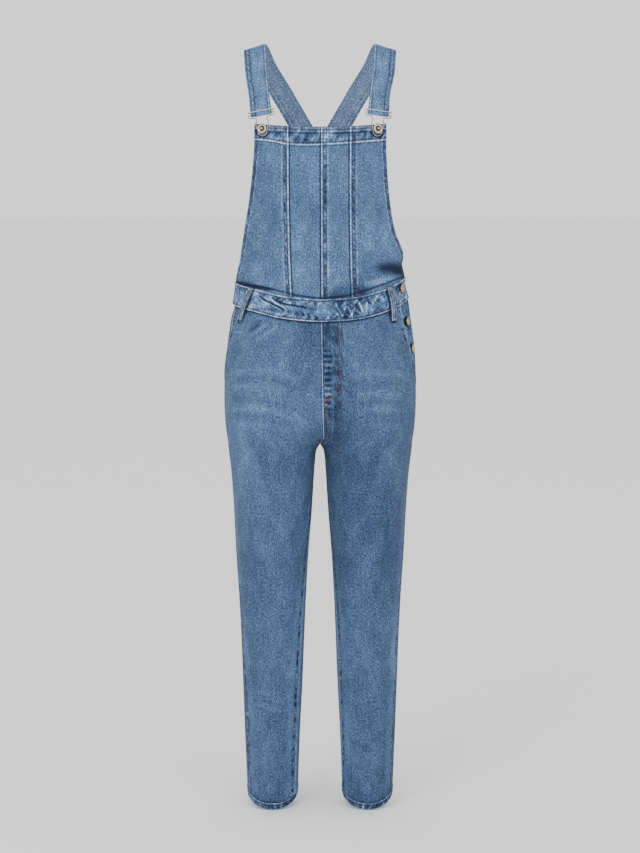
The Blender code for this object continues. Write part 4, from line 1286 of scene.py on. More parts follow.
# Creases in the front waistband: width, lift, tone and the points of each, (along the band from its
# middle, z). The dark troughs are painted shade and the pale crests are wear with painted highlight.
WAIST_STROKES = [
    (1.0, 0.5, 1.0, ((-117, -456), (-111, -466), (-104, -472), (-94, -476))),
    (0.9, 0.2, 0.5, ((-94, -476), (-80, -481), (-68, -485))),
    (1.3, 0.7, 1.2, ((-88, -468), (-80, -472), (-68, -478), (-61, -481))),
    (1.3, -0.8, -1.6, ((-113, -462), (-105, -467), (-90, -473), (-77, -478), (-65, -484))),
    (1.5, -0.8, -1.7, ((-83, -465), (-75, -471), (-65, -474), (-53, -476), (-38, -478), (-20, -481))),
    (1.2, -0.3, -0.6, ((-20, -481), (-3, -485))),
    (2.4, -0.3, -0.9, ((-77, -463), (-75, -465))),
    (1.6, -0.2, -0.8, ((-108, -483), (-107, -485))),
    (2.2, -0.3, -1.0, ((-87, -485), (-86, -487))),
    (1.3, -0.2, -0.6, ((-73, -488), (-73, -490))),
    (1.3, -0.3, -1.1, ((-63, -484), (-62, -491))),
    (1.8, -0.3, -1.0, ((-54, -489), (-53, -491))),
    (2.7, -0.3, -1.0, ((-38, -490), (-37, -493))),
    (1.6, -0.3, -1.0, ((-26, -490), (-25, -496))),
    (2.3, -0.3, -1.0, ((-15, -493), (-14, -499))),
    (2.5, -0.3, -0.9, ((-3, -496), (0, -500))),
    (1.4, -0.2, -0.7, ((-102, -460), (-101, -462))),
    (1.3, -0.2, -0.8, ((-94, -462), (-93, -464))),
    (1.8, -0.1, -0.5, ((-62, -465), (-60, -467))),
    (1.3, -0.1, -0.6, ((-46, -468), (-45, -470))),
    (1.6, -0.2, -0.7, ((-33, -469), (-32, -471))),
    (1.6, -0.2, -0.9, ((-21, -470), (-21, -474))),
    (1.3, -0.2, -0.7, ((-13, -471), (-12, -474))),
    (1.7, -0.2, -0.9, ((-4, -471), (-3, -476))),
    (1.0, 0.5, 1.15, ((35, -474), (39, -483), (45, -491), (48, -499))),
    (1.0, 0.4, 0.9, ((53, -479), (50, -490), (48, -497))),
    (1.0, 0.5, 1.2, ((57, -480), (62, -488), (65, -495), (65, -499))),
    (1.0, 0.5, 1.0, ((73, -479), (68, -487), (65, -494))),
    (0.9, 0.3, 0.8, ((60, -473), (66, -479))),
    (1.2, 0.6, 1.35, ((71, -472), (75, -468), (78, -471), (83, -481), (86, -489))),
    (2.0, 0.4, 0.8, ((94, -473), (94, -482), (94, -490))),
    (1.1, 0.4, 1.0, ((102, -469), (107, -475), (114, -467), (116, -461))),
    (1.2, 0.3, 0.7, ((125, -463), (133, -470))),
    (2.0, 0.3, 0.9, ((36, -491), (38, -493))),
    (2.8, 0.3, 0.6, ((51, -472), (53, -474))),
    (1.4, 0.3, 0.7, ((17, -495), (24, -501))),
    (4.0, 0.2, 0.4, ((6, -488), (30, -489))),
    (3.6, -0.3, -0.6, ((41, -473), (45, -474))),
    (2.4, -0.3, -0.7, ((61, -470), (62, -473))),
    (3.0, -0.3, -0.8, ((57, -487), (59, -491))),
    (1.6, -0.5, -1.1, ((74, -475), (74, -481))),
    (1.6, -0.5, -1.4, ((79, -483), (82, -489))),
    (2.0, -0.4, -1.1, ((38, -499), (56, -498))),
    (2.8, -0.2, -0.8, ((82, -465), (84, -467))),
    (1.5, -0.4, -1.4, ((98, -472), (99, -475))),
    (1.4, -0.4, -1.4, ((103, -472), (103, -475))),
    (2.0, -0.3, -1.0, ((119, -468), (120, -471))),
    (2.4, -0.3, -0.6, ((-138, -452), (-134, -470))),
    (2.0, 0.4, 0.6, ((-146, -454), (-143, -468))),
    (2.0, 0.4, 0.5, ((146, -452), (150, -468))),
]


# Like ones on the back, where the band sits higher
WAIST_STROKES_BACK = [
    (width, lift, 0.7 * tone, tuple((-x, z + 45 - 0.18 * abs(x)) for x, z in line))
    for width, lift, tone, line in WAIST_STROKES[::2]
]
BAND_ROWS = 38


def waistband(name, start, end, nodes, wear_and_shade, seed):
    cloth = Cloth(
        None,
        lambda z: start + 0 * z,
        lambda z: end + 0 * z,
        lambda level, turn: waist_z(side_of(from_front(turn)), from_front(turn)) - level,
        np.linspace(0, WAISTBAND_HEIGHT, BAND_ROWS),
        out=LAP + BAND_CLOTH,
        step=1.25,
        edge=(6, 6),
        on_turn=True,
    )
    middle = cloth.from_start - cloth.width / 2
    v = np.broadcast_to(np.linspace(0, WAISTBAND_HEIGHT, BAND_ROWS)[:, None], middle.shape)
    rope = mottled(middle + 0.8 * v, v, seed, (5.2, 7, 0.8), (2.8, 5, 0.45))
    blocks = noise(middle / 8.5, v / 9, seed + 2) * 0.7 + noise((middle - v) / 4.5, v / 7, seed + 3) * 0.5
    upper, lower = band(v, 3.2, 13, 3), band(v, 28, 38, 3)
    towards_left = (nodes[0] == "waistband_front") * ease((middle - 2) / 26) * ease((112 - middle) / 30)
    ridge = 0.86 - 0.3 * towards_left
    body = 0.2 * ease(-middle / 30) - 0.28 * towards_left
    cloth.lift += 0.5 * rope * (upper + lower) + 0.35 * blocks
    cloth.lift -= 1.0 * hump(v, 0, 0.7) + 1.0 * hump(v, WAISTBAND_HEIGHT, 0.7)
    cloth.lift += 0.35 * (hump(v, 1.2, 1.2) + hump(v, WAISTBAND_HEIGHT - 1.2, 1.2))
    cloth.lift -= 0.3 * (hump(v, 3.0, 0.7) + hump(v, WAISTBAND_HEIGHT - 3.2, 0.7))
    cloth.tone += 0.74 * rope * (upper + lower) + 0.56 * blocks + 0.02
    cloth.tone += ridge * (hump(v, 1.0, 1.1) + hump(v, WAISTBAND_HEIGHT - 1.0, 1.1))
    cloth.tone -= 1.2 * hump(v, 3.3, 0.85) + 1.2 * hump(v, WAISTBAND_HEIGHT - 3.4, 0.85)
    cloth.tone += body
    strokes(cloth, middle, cloth.z, wear_and_shade)
    loop_shade(cloth)
    cloth.settle()
    if nodes[0] == "waistband_front":
        place, out = side_button_place(0)
        ring_shade(cloth, place, 8.0, 1.2, 1.2)
        _, angle, z = SIDE_BUTTONS[0]
        ends = [form(LEFT, angle + turn, z - 6.6, LAP + BAND_CLOTH + 0.4)[0] for turn in (-6.5, -0.5)]
        threads_orange.extend(bartack((ends[0] + ends[1]) / 2, out, unit(ends[1] - ends[0]), 10.0, 1.6))
    shell(name, cloth, BAND_CLOTH, nodes)
    threads_tan.append(cloth.cross_line(2.6, False, 2, 2))
    threads_tan.append(cloth.cross_line(2.8, True, 2, 2))


def loop_shade(cloth):
    """Painted shadow: dark outlines on what lies under the belt loops, and a dark line below each loop's lower
    end.
    """
    for _, side, top_angle, bottom_angle in LOOPS:
        share = np.clip((waist_z(side, top_angle) - cloth.z) / (WAISTBAND_HEIGHT + LOOP_BELOW_BAND), 0, 1.3)
        angle, same = cloth.angle, cloth.side == side
        if cloth.on_turn:
            turn = from_front(cloth.angle)
            angle, same = np.abs(turn), (side_of(turn) == side) | (top_angle == 180)
        _, half, _, depth_half = section(cloth.z)
        turned_by = np.radians(mix(top_angle, bottom_angle, share))
        arc = np.hypot(half * np.cos(turned_by), depth_half * np.sin(turned_by))
        away = np.abs(np.radians(angle) - turned_by) * arc
        cloth.tone -= 1.5 * same * hump(away, LOOP_WIDTH / 2 + 0.9, 1.4) * ease((1.03 - share) * 20)
        cloth.tone -= 1.7 * same * hump(share, 1.02, 0.02) * band(away, -1, LOOP_WIDTH / 2, 2)


def loop_lift(share, edge_share):
    over_band = 2 * LAP + BAND_CLOTH + LOOP_BULGE * np.sin(np.pi * np.minimum(share / edge_share, 1.0))
    return mix(over_band, LAP, ease((share - edge_share - 0.04) / (0.93 - edge_share)))


def belt_loop(name, side, top_angle, bottom_angle, seed):
    length = WAISTBAND_HEIGHT + LOOP_BELOW_BAND
    edge_share = WAISTBAND_HEIGHT / length
    share = np.linspace(0, 1, 44)[:, None]
    spread = np.linspace(-1, 1, 17)[None]
    angle = mix(top_angle, bottom_angle, share)
    z = waist_z(side, angle) - 0.4 - share * length
    turn = np.radians(angle)
    across = np.degrees(LOOP_WIDTH / 2 / np.hypot(section(z)[1] * np.cos(turn), section(z)[3] * np.sin(turn)))
    angle = angle + spread * across
    z = np.broadcast_to(z, angle.shape).copy()
    p, n = form(side, angle, z, loop_lift(share, edge_share) + LOOP_CLOTH)
    width = np.full((len(share), 1), LOOP_WIDTH)
    cloth = grid_cloth(
        side, p, n, angle, z, (spread + 1) * LOOP_WIDTH / 2, width, share * length, length
    )
    edge = np.minimum(cloth.from_start, cloth.from_end)
    mottle = noise(cloth.from_top / 5, cloth.from_start / 4, seed)
    cloth.lift += 0.35 * hump(edge, 1.6, 1.3) - 0.7 * hump(edge, 0, 0.5) + 0.2 * mottle
    # the dark lines at the very edges are painted shade
    cloth.tone += 0.7 * hump(edge, 1.5, 0.9) - 0.4 * hump(edge, 0.0, 0.6) - 0.55 * hump(edge, 3.4, 0.9)
    cloth.tone += 0.35 * mottle + 0.3 * hump(cloth.from_start, LOOP_WIDTH / 2, 1.4) + 0.02
    # painted shade at the loop's lower end
    cloth.tone -= 0.6 * hump(cloth.from_bottom, 0, 1.0)
    cloth.settle()
    shell(name + "_cloth", cloth, LOOP_CLOTH, [name], look=denim_worn)
    for inset in (2.5, LOOP_WIDTH - 2.5):
        threads_dark.append(cloth.down_line(inset, False, 2, length - 3))
    for drop in (2.2, length - 3.0):
        p, n = cloth.at(LOOP_WIDTH / 2, drop)
        along = cloth.across(20, 8)
        threads_orange.extend(bartack(p, n, along, LOOP_WIDTH - 4.5, 1.2))


# Bib


def turn_of_x(x, z):
    return np.degrees(np.arcsin(np.clip(x / section(z)[1], -1, 1)))


def bib_edge(side, z):
    half_width = at_height(BIB_EDGE[SIDE_NAMES[side]], z)
    return side * np.minimum(BIB_CORNER_ANGLE, np.abs(turn_of_x(half_width, z)))


def bib_top(x):
    return BIB_TOP_Z - BIB_TOP_DIP * (1 - (x / BIB_TOP_HALF_WIDTH) ** 2)


def bib_height(level, turn):
    """level runs from 0 at the bib's top to 1 inside the waistband."""
    x = 160 * np.sin(np.radians(turn))
    for _ in range(3):
        z = mix(bib_top(x), waist_z(side_of(turn), turn) - TUCK, level)
        x = section(z)[1] * np.sin(np.radians(turn))
    return z


def seam_x(seam, z):
    top_x, lean = BIB_SEAMS[seam]
    return top_x + lean * np.clip((BIB_TOP_Z - z) / BIB_LEAN_HEIGHT, 0, 1) ** BIB_LEAN_POWER


# How far the close columns reach from each kind of edge
BIB_NEAR = {"edge": 34, "fold": 14, "under": 8}
BIB_LEVELS = np.concatenate([np.linspace(0, 0.13, 42)[:-1], np.linspace(0.13, 1, 160)])
# Wear and painted shade on the bib: the dark patches in the low fold on the wearer's left and just above the
# waistband are painted shade
BIB_WEAR_AND_SHADE = [
    # x, z, tilt, length, width, lift, tone
    (136, -413, -8, 26, 9, 0.0, -1.0),
    (118, -409, 4, 24, 8, 0.0, -0.5),
    (150, -420, -30, 14, 7, 0.0, -1.0),
    (104, -424, 12, 28, 7, 0.0, -0.15),
    (96, -436, 14, 22, 5, 0.0, 0.3),
    (118, -434, 14, 22, 4, 0.0, 0.25),
    (70, -442, -60, 18, 9, 0.0, -0.3),
    (40, -448, 4, 34, 9, 0.0, -0.15),
    (24, -440, 50, 18, 4, 0.0, 0.2),
    (-132, -440, -20, 18, 5, 0.0, -0.4),
    (120, -352, 70, 26, 5, 0.0, 0.18),
    (112, -338, 60, 20, 4, 0.0, 0.14),
    (-100, -438, 10, 26, 5, 0.0, 0.12),
]


def bib_panel(name, start, end, styles, seed):
    cloth = Cloth(
        None, start, end, bib_height, BIB_LEVELS, step=2.8, edge=[BIB_NEAR[style] for style in styles],
        on_turn=True
    )
    s = cloth.from_top
    x, z = cloth.p[..., 0], cloth.z
    cloth.tone += (
        0.05 - 0.07 * ease((-x - 50) / 30) + 0.08 * noise(x / 30, z / 60, 120)
        + 0.05 * noise(x / 14, z / 30, 121)
    )
    marks(cloth, x, z, BIB_WEAR_AND_SHADE)
    for style, d in zip(styles, (cloth.from_start, cloth.from_end)):
        if style == "fold":
            raised_fold(cloth, d, z, seed)
        elif style == "under":
            under_fold(cloth, d, z, seed + 5)
        else:
            turned_edge(cloth, d, z, seed + 7)
    narrowed = 4.8 * ease((-x - 52) / 44) + 0.036 * np.clip(x + 28, 0, 110)
    height = BIB_BAND - narrowed
    depth = bib_top(x) - z
    rope = noise((x + 0.4 * depth) / 3.9, depth / 8, 131) * 0.85 + noise(x / 2.6, depth / 4, 132) * 0.4
    blocks = noise(x / 11, depth / 12, 133)
    hem_band = band(depth, 1.5, height, 2)
    puckers = hump(depth, 22, 8) * np.clip(noise((x + 0.3 * depth) / 3.2, depth / 16, 134), 0, 1)
    ripple = noise(x / 2.3, 0.5, 136) * band(depth, 1.5, 12, 2)
    cloth.lift += 0.7 * (1 - ease((depth - height) / 2.5)) + 0.45 * hem_band * rope + 0.25 * ripple
    cloth.lift -= 0.35 * hump(depth, 6.0, 0.8) + 0.35 * hump(depth, height - 1.8, 0.8) + 0.9 * hump(depth, 0, 0.6)
    cloth.tone += hem_band * (0.55 * rope + 0.45 * blocks - 0.2) + 1.1 * puckers + 0.3 * ripple
    cloth.tone += 0.25 * hump(depth, 3.0, 1.6) - 0.45 * hump(depth, 0.5, 0.7) - 0.6 * hump(depth, 6.0, 0.9)
    cloth.tone += 0.6 * hump(depth, 8.6, 1.3) - hump(depth, 12.2, 1.2) * (0.75 + 0.6 * noise(x / 9, 0.3, 135))
    cloth.tone += 0.95 * hump(depth, height + 0.9, 1.3)
    # the dark line just below the band's edge is painted shade
    cloth.tone -= 0.85 * hump(depth, height - 2.2, 1.2) + 0.7 * hump(depth, height + 3.8, 1.0)
    turn = np.degrees(np.arctan2(np.abs(x), -cloth.p[..., 1]))
    above_band = (z - waist_z(side_of(x), turn)) - 1
    side_foot = ease((-x - 84) / 16)
    near_foot = ease((x + 4) / 16) * ease((100 - x) / 24)
    # painted shadow on the bib just above the waistband
    cloth.tone -= 1.7 * side_foot * hump(above_band, 0, 2.6) + near_foot * 0.42 * hump(above_band, 0, 12)
    cloth.tone -= 1.2 * hump(above_band, 1.6, 1.5)
    cloth.settle()
    if "edge" in styles:
        button = np.array(buckle_frame(RIGHT if "right" in name else LEFT).translation)
        away = np.linalg.norm(cloth.p - button, axis=-1)
        below = ease((button[2] - 3 - z) / 5)
        # painted shadow round the button and below the hook's lower loop
        cloth.tone -= 1.0 * hump(away, 10.2, 1.2) + 1.9 * below * hump(away, 15.3, 1.1)
    shell(name + "_cloth", cloth, CLOTH, [name])
    for style, from_end in zip(styles, (False, True)):
        if style == "fold":
            threads_dark.append(cloth.down_line(4.3, from_end))
            threads_tan.append(cloth.down_line(9.9, from_end))
        elif style == "edge":
            threads_tan.append(cloth.down_line(7.4, from_end, 8))
    threads_tan.append(cloth.cross_line(0.9))
    threads_tan.append(cloth.cross_line(6.0))
    threads_tan.append(cloth.cross_line(height[0] - 1.9))


def bib():
    def seam(which):
        return lambda z: turn_of_x(seam_x(which, z), z)

    right, middle, left = (seam(which) for which in BIB_SEAMS)
    bib_panel("bib_side_right", lambda z: bib_edge(RIGHT, z), right, ("edge", "fold"), 140)
    bib_panel("bib_middle_right", right, middle, ("under", "under"), 150)
    bib_panel("bib_middle_left", middle, left, ("fold", "under"), 160)
    bib_panel("bib_side_left", left, lambda z: bib_edge(LEFT, z), ("fold", "edge"), 170)


def bib_facing():
    def height(level, turn):
        x = section(BIB_TOP_Z - level)[1] * np.sin(np.radians(turn))
        return bib_top(x) - level

    cloth = Cloth(
        None, lambda z: bib_edge(RIGHT, z), lambda z: bib_edge(LEFT, z), height,
        np.linspace(0.5, BIB_FACING_HEIGHT, 14), out=-PANEL_WALL - LAP, step=4.0, edge=(6, 6), on_turn=True,
    )
    cloth.tone += 0.3 * noise(cloth.from_start / 8, cloth.from_top / 9, 180)
    cloth.settle()
    shell(
        "bib_top_facing_cloth", cloth, FACING_CLOTH, ["bib_top_facing"],
        look=denim_inside,
    )


def back_bib():
    def edge(sign):
        def found(z):
            half = at_height(BACK_EDGE["half_width"], z)
            return 180 + sign * np.minimum(BIB_CORNER_ANGLE, turn_of_x(half, z))

        return found

    def height(level, turn):
        turn = from_front(turn)
        return mix(BACK_BIB_TOP_Z, waist_z(side_of(turn), turn) - TUCK, level)

    cloth = Cloth(None, edge(-1), edge(1), height, np.linspace(0, 1, 56), step=4.4, edge=(13, 13), on_turn=True)
    s, x, z = cloth.from_top, cloth.p[..., 0], cloth.z
    cloth.tone += 0.02 + 0.08 * noise(x / 30, z / 60, 190)
    for d, seed in ((cloth.from_start, 191), (cloth.from_end, 195)):
        turned_edge(cloth, d, z, seed)
    rope = mottled(x, s, 198, (5.2, 9, 0.8), (3, 6, 0.4))
    cloth.lift += 0.7 * (1 - ease((s - 26) / 2.5)) + 0.35 * band(s, 1.5, 26, 2) * rope
    cloth.tone += band(s, 1.5, 26, 2) * (0.55 * rope - 0.1) + 0.5 * hump(s, 0.8, 1) + 0.7 * hump(s, 26.4, 1.1)
    # painted shade where the bib goes under the waistband
    cloth.tone -= 0.5 * hump(cloth.from_bottom, TUCK, 3)
    cloth.settle()
    shell("back_bib_cloth", cloth, CLOTH, ["back_bib"])
    threads_tan.append(cloth.cross_line(5.0))
    threads_tan.append(cloth.cross_line(24.4))
    threads_tan.append(cloth.down_line(7.4, False, 8))
    threads_tan.append(cloth.down_line(7.4, True, 8))


# Straps and buckles


def frame_on(place, out, up):
    """Axes at a place: across, up and out of the cloth."""
    across = up.cross(out).normalized()
    return Matrix(
        ((across.x, up.x, out.x, place.x), (across.y, up.y, out.y, place.y),
         (across.z, up.z, out.z, place.z), (0, 0, 0, 1))
    )


def upward(out):
    return (Vector((0, 0, 1)) - out * out.z).normalized()


def buckle_frame(side):
    angle = float(turn_of_x(BIB_BUTTON_X, np.array(BIB_BUTTON_Z)))
    place, out = (Vector(v) for v in form(side, angle, BIB_BUTTON_Z))
    up = upward(out)
    roll = Matrix.Rotation(-side * math.radians(BUCKLE_ROLL[side]), 3, out)
    up = (roll @ up).normalized()
    if (up.x * side) < 0:
        up = (roll.inverted() @ roll.inverted() @ up).normalized()
    return frame_on(place, out, up)


def strap_loop(side):
    """The strap's tail, its turn round the hook's bar and its flat front, as pairs of edges."""
    front, back = HOOK_LIFT + STRAP_TURN_RADIUS, HOOK_LIFT - STRAP_TURN_RADIUS
    route = [
        (HOOK_BAR_V + STRAP_TAIL, front - STRAP_CLOTH - 2 * GAP),
        (HOOK_BAR_V + STRAP_TAIL_REST, front - STRAP_CLOTH - 3 * GAP),
        (HOOK_BAR_V + STRAP_BACK_REACH, back),
    ]
    for k in range(STRAP_TURN_STEPS + 1):
        turn = math.pi * k / STRAP_TURN_STEPS
        up = HOOK_BAR_V - STRAP_TURN_RADIUS * math.sin(turn)
        route.append((up, HOOK_LIFT - STRAP_TURN_RADIUS * math.cos(turn)))
    route += [(HOOK_BAR_V + STRAP_FRONT_REACH, front), (STRAP_FLAT_V, front)]
    frame_at = buckle_frame(side)
    neck, arm = -side * STRAP_WIDTH / 2, side * STRAP_WIDTH / 2
    return [(frame_at @ Vector((neck, v, n)), frame_at @ Vector((arm, v, n))) for v, n in route]


def strap_over(side):
    """The strap's edges over the shoulder and down the back, across the other strap."""
    half = STRAP_WIDTH / 2
    stations = []
    middles = [Vector((side * x, y, z)) for x, y, z, _, _ in SHOULDER]
    for k, (_, _, _, turn, drop) in enumerate(SHOULDER):
        ahead = middles[min(k + 1, len(middles) - 1)] - middles[max(k - 1, 0)]
        c, s = math.cos(math.radians(drop)), math.sin(math.radians(drop))
        yaw = math.radians(turn)
        arm = Vector((side * c * math.cos(yaw), c * math.sin(yaw), -s))
        arm = (arm - ahead * (arm.dot(ahead) / ahead.length_squared)).normalized()
        stations.append((middles[k] - arm * half, middles[k] + arm * half))
    end = BACK_BIB_TOP_Z - STRAP_END_LAP
    tilt = math.atan(STRAP_SLOPE)
    for k in range(STRAP_BACK_STEPS + 1):
        z = mix(STRAP_BACK_START_Z, end, k / STRAP_BACK_STEPS)
        x = side * STRAP_SLOPE * (z - STRAP_CROSS_Z)
        lap = float(ease((STRAP_CROSS_REACH - abs(z - STRAP_CROSS_Z)) / STRAP_CROSS_RAMP))
        out = -PANEL_WALL - LAP - STRAP_CLOTH / 2 + (STRAP_CROSS_LIFT * lap if side == LEFT else 0)
        edges = []
        for reach in (-half, half):
            edge_x = x + side * reach * math.cos(tilt)
            edge_z = z - reach * math.sin(tilt)
            turn = from_front(180 - float(turn_of_x(edge_x, np.array(edge_z))))
            p, _ = form(side_of(turn), abs(turn), edge_z, out)
            edges.append(Vector(p))
        stations.append(tuple(edges))
    return stations


# Places across the strap, close where its stitching and its edges are
STRAP_COLUMNS = (
    0, 0.6, 1.4, 2.4, 3.4, 4.4, 5.8, 7.6, 9.6, 10.8, 12.0, 13.6, 16, 19, 22.5, 26, 29.4, 32.2, 34.6,
    36.6, 38.0, 39.4, 40.3, STRAP_WIDTH,
)


def catmull(points, closed, steps):
    """A smooth line through points."""
    count = len(points)
    route = []
    for k in range(count if closed else count - 1):
        at = [(k + d) % count if closed else min(max(k + d, 0), count - 1) for d in (-1, 0, 1, 2)]
        p0, p1, p2, p3 = (points[i] for i in at)
        for step in range(steps):
            t = step / steps
            route.append(0.5 * (2 * p1 + (p2 - p0) * t + (2 * p0 - 5 * p1 + 4 * p2 - p3) * t**2
                                + (3 * p1 - p0 - 3 * p2 + p3) * t**3))
    if not closed:
        route.append(points[-1].copy())
    return route


def strap(side):
    loop, over = strap_loop(side), strap_over(side)

    def whole_edge(e):
        over_shoulder = catmull([station[e] for station in loop[-2:] + over], False, 9)
        return np.array([tuple(v) for v in [station[e] for station in loop[:-2]] + over_shoulder])

    arm, neck = whole_edge(1), whole_edge(0)
    middle = (arm + neck) / 2
    run = run_of(middle)
    turn_start, turn_end = run[2] + 8.6, run[2 + STRAP_TURN_STEPS + 1] + 0.4
    at = np.concatenate([
        np.arange(0, turn_start, 2.6),
        np.arange(turn_start, turn_end, 0.62),
        np.arange(turn_end + 1.2, run[-1], 2.6),
        run[-1:],
    ])
    arm, neck = (read_along(edge, run, at) for edge in (arm, neck))
    across = np.array(STRAP_COLUMNS)
    share = (across / STRAP_WIDTH)[None, :, None]
    p = mix(arm[:, None], neck[:, None], share)
    n = unit(np.cross(np.gradient(p, axis=0), np.gradient(p, axis=1))) * side
    z = -np.broadcast_to(at[:, None], p.shape[:2]).copy()
    width = np.full((len(at), 1), STRAP_WIDTH)
    cloth = grid_cloth(
        side, p + n * (STRAP_CLOTH / 2), n, np.zeros_like(z), z, across[None], width, -z, at[-1]
    )
    d, s = cloth.from_start, cloth.from_top
    mottle = mottled(s, d, 200 + side, (5.5, 4, 0.8), (3, 3, 0.4), 2)
    outer = band(d, 1.2, 12.5, 2)
    cloth.lift += 0.25 * outer * mottle - 0.3 * (hump(d, 3.4, 0.8) + hump(d, 10.8, 0.8))
    cloth.lift -= 0.8 * (hump(d, 0, 0.5) + hump(cloth.from_end, 0, 0.5))
    cloth.tone += 0.13 + outer * 0.45 * mottle - 0.75 * (hump(d, 3.4, 1.2) + hump(d, 10.8, 1.2))
    cloth.tone += (
        0.4 * hump(d, 0.7, 0.9) + 0.5 * hump(cloth.from_end, 0.8, 1.0) + 0.14 * noise(s / 24, d / 16, 204)
    )
    cloth.tone -= 0.5 * hump(cloth.from_end, 3.0, 1.1)
    cloth.settle()
    name = "strap_" + SIDE_NAMES[side]
    shell(name + "_cloth", cloth, STRAP_CLOTH, [name], inner_look=strap_inside)
    flip = Cloth.__new__(Cloth)
    flip.__dict__.update(cloth.__dict__)
    flip.p, flip.n = cloth.p - cloth.n * STRAP_CLOTH, -cloth.n
    for inset in (3.4, 10.8):
        threads_dark.append(cloth.down_line(inset))
        threads_dark.append(flip.down_line(inset, False, 120, 1e9))


def wire(name, points, radius, nodes, look=None):
    curve = bpy.data.curves.new(name, "CURVE")
    curve.dimensions = "3D"
    curve.bevel_depth = radius * MM
    curve.bevel_resolution = 3
    spline = curve.splines.new("POLY")
    spline.points.add(len(points) - 1)
    for place, p in zip(spline.points, points):
        place.co = (*(p * MM), 1)
    spline.use_cyclic_u = True
    curve.materials.append(look or metal)
    curve.use_fill_caps = False
    made = put(name, curve)
    for s in curve.splines:
        s.use_smooth = True
    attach(made, "root")
    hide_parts(*nodes)


def hook(side):
    half_route = [(0, -13.5), (5.4, -11.6), (8.4, -6.5), (10.4, -0.5), (12.2, 5), (12.6, 10.5),
                  (11.0, 15.5), (11.4, 18.8), (15.5, 20.9), (21.5, 21.5), (25.2, 22.6), (26.4, 25.0),
                  (24.6, HOOK_BAR_V)]
    route = half_route + [(0, HOOK_BAR_V)] + [(-u, v) for u, v in half_route[:0:-1]]
    frame_at = buckle_frame(side)
    points = [frame_at @ p for p in catmull([Vector((u, v, HOOK_LIFT)) for u, v in route], True, 7)]
    node = "hook_" + SIDE_NAMES[side]
    wire(node + "_wire", points, HOOK_WIRE, [node])


def slider(side):
    front = HOOK_LIFT + STRAP_TURN_RADIUS + STRAP_CLOTH / 2 + SLIDER_GAP + SLIDER_WIRE
    back = HOOK_LIFT - STRAP_TURN_RADIUS - STRAP_CLOTH / 2 - SLIDER_GAP - SLIDER_WIRE
    middle = (front + back) / 2
    half_route = [(0, front), (12, front), (22, front), (SLIDER_HALF - 1, front - 1.2),
                  (SLIDER_HALF + 1, middle), (SLIDER_HALF - 1, back + 1.2), (22, back), (12, back), (0, back)]
    route = half_route + [(-u, n) for u, n in half_route[-2:0:-1]]
    frame_at = buckle_frame(side)
    points = [frame_at @ p for p in catmull([Vector((u, SLIDER_V, n)) for u, n in route], True, 5)]
    node = "slider_" + SIDE_NAMES[side]
    wire(node + "_wire", points, SLIDER_WIRE, [node], bright_metal)


def turned(name, profile, recesses, frame_at, look, nodes, steps=48):
    """A round piece turned from a profile of (radius, height), top first, darker in its recesses."""
    smooth_profile = []
    for (r0, h0), (r1, h1) in zip(profile, profile[1:]):
        for k in range(3):
            smooth_profile.append((mix(r0, r1, k / 3), mix(h0, h1, k / 3)))
    smooth_profile.append(profile[-1])
    verts, faces = [], []
    for r, h in smooth_profile:
        for k in range(steps):
            a = math.tau * k / steps
            verts.append((r * math.cos(a) * MM, r * math.sin(a) * MM, h * MM))
    for i in range(len(smooth_profile) - 1):
        for k in range(steps):
            n = (k + 1) % steps
            faces.append((i * steps + k, (i + 1) * steps + k, (i + 1) * steps + n, i * steps + n))
    mesh = bpy.data.meshes.new(name)
    mesh.from_pydata(verts, [], faces)
    mesh.materials.append(look)
    mesh.materials.append(patina)
    for k, face in enumerate(mesh.polygons):
        ring_radius = smooth_profile[k // steps][0]
        outer_face = k // steps < len(smooth_profile) * 0.7
        face.material_index = int(outer_face and any(low <= ring_radius < high for low, high in recesses))
    mesh.shade_smooth()
    made = put(name, mesh)
    matrix = frame_at.copy()
    matrix.translation = frame_at.translation * MM
    made.matrix_world = matrix
    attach(made, "root")
    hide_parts(*nodes)


# Profiles of (radius, height), and the radii between which a face is dark
BIB_BUTTON = [
    (0.01, 6.4), (1.4, 6.35), (2.2, 6.0), (2.7, 5.2), (3.4, 4.7), (4.8, 4.5), (5.7, 4.6), (6.2, 5.0), (6.8, 5.1),
    (7.3, 4.9), (7.9, 5.5), (8.7, 5.4), (9.3, 4.7), (9.3, 3.9), (8.8, 3.2), (3.2, 2.9), (3.2, 0.4), (0.01, 0.4),
]
BIB_BUTTON_RECESSES = ((2.0, 4.9), (7.2, 7.7))
SIDE_BUTTON = [
    (0.01, 4.6), (3.0, 4.55), (3.8, 4.2), (4.6, 4.05), (5.4, 4.3), (6.5, 4.5), (7.2, 4.1), (7.3, 3.5), (7.0, 2.9),
    (2.6, 2.6), (2.6, 0.4), (0.01, 0.4),
]
SIDE_BUTTON_RECESSES = ((4.2, 5.2),)


def buttons():
    for side in (RIGHT, LEFT):
        node = "bib_button_" + SIDE_NAMES[side]
        turned(node + "_metal", BIB_BUTTON, BIB_BUTTON_RECESSES, buckle_frame(side), button_metal, [node])
    for number, (name, _, _) in enumerate(SIDE_BUTTONS):
        place, out = (Vector(v) for v in side_button_place(number))
        frame_at = frame_on(place, out, upward(out))
        turned(name + "_metal", SIDE_BUTTON, SIDE_BUTTON_RECESSES, frame_at, brass, [name])


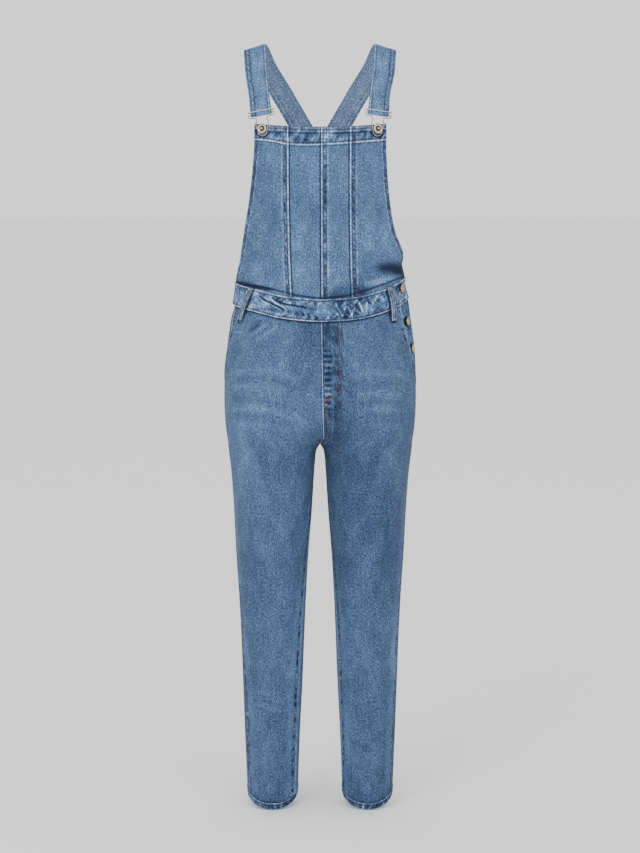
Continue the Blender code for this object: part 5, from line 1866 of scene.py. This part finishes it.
for wearer_side in (RIGHT, LEFT):
    front_leg(wearer_side)
    back_leg(wearer_side)
    facing(wearer_side)
    hem(wearer_side)
    strap(wearer_side)
    hook(wearer_side)
    slider(wearer_side)
waistband(
    "waistband_front_cloth", -float(side_seam(RIGHT, WAIST_TOP_Z)), float(side_seam(LEFT, WAIST_TOP_Z)),
    ["waistband_front"], WAIST_STROKES, 210,
)
waistband(
    "waistband_back_cloth", float(side_seam(LEFT, WAIST_TOP_Z)), 360 - float(side_seam(RIGHT, WAIST_TOP_Z)),
    ["waistband_back"], WAIST_STROKES_BACK, 220,
)
for number, loop in enumerate(LOOPS):
    belt_loop(*loop, 230 + number)
bib()
bib_facing()
back_bib()
buttons()
stitches("stitching_tan", threads_tan, thread_tan)
stitches("stitching_brown", threads_brown, thread_brown)
stitches("stitching_pale", threads_pale, thread_pale)
stitches("stitching_dark", threads_dark, thread_dark)
stitches("bartacks", threads_orange, thread_orange)


# Floor, light and camera

FLOOR_Z = -1461.0
floor = bpy.data.meshes.new("floor")
floor.from_pydata([(-30, -30, 0), (30, -30, 0), (30, 30, 0), (-30, 30, 0)], [], [(0, 1, 2, 3)])
floor_object = put("floor", floor)
floor_object.location.z = (FLOOR_Z - 1.0) * MM
pale, _, pale_shader = node_material("Pale floor")
pale_shader.inputs["Base Color"].default_value = (0.93, 0.93, 0.93, 1)
pale_shader.inputs["Roughness"].default_value = 1.0
floor.materials.append(pale)

world = bpy.data.worlds.new("Studio")
bpy.context.scene.world = world
world.use_nodes = True
world.node_tree.nodes["Background"].inputs["Color"].default_value = (1, 1, 1, 1)
world.node_tree.nodes["Background"].inputs["Strength"].default_value = 1.3


def lamp(name, size, energy, place, aim):
    light = bpy.data.lights.new(name, "AREA")
    light.shape = "RECTANGLE"
    light.size, light.size_y = size
    light.energy = energy
    made = put(name, light)
    made.location = place
    made.rotation_mode = "QUATERNION"
    made.rotation_quaternion = (Vector(aim) - Vector(place)).to_track_quat("-Z", "Y")


lamp("key", (1.6, 2.2), 42, (-1.6, -2.6, 1.0), (0, 0, -0.6))
lamp("fill", (1.6, 2.2), 14, (2.0, -2.4, 0.4), (0, 0, -0.7))

CAMERA_DISTANCE = 4.0
CAMERA_ELEVATION = 8.0
CAMERA_LENS = 88.72
MIDDLE_Z = -0.727
AIM_Z = -0.7158
camera_data = bpy.data.cameras.new("camera")
camera_data.lens = CAMERA_LENS
camera_data.clip_end = 100
camera = put("camera", camera_data)
rise = math.radians(CAMERA_ELEVATION)
camera.location = (0, -CAMERA_DISTANCE * math.cos(rise), MIDDLE_Z + CAMERA_DISTANCE * math.sin(rise))
camera.rotation_mode = "QUATERNION"
camera.rotation_quaternion = (Vector((0, 0, AIM_Z)) - camera.location).to_track_quat("-Z", "Y")
bpy.context.scene.camera = camera
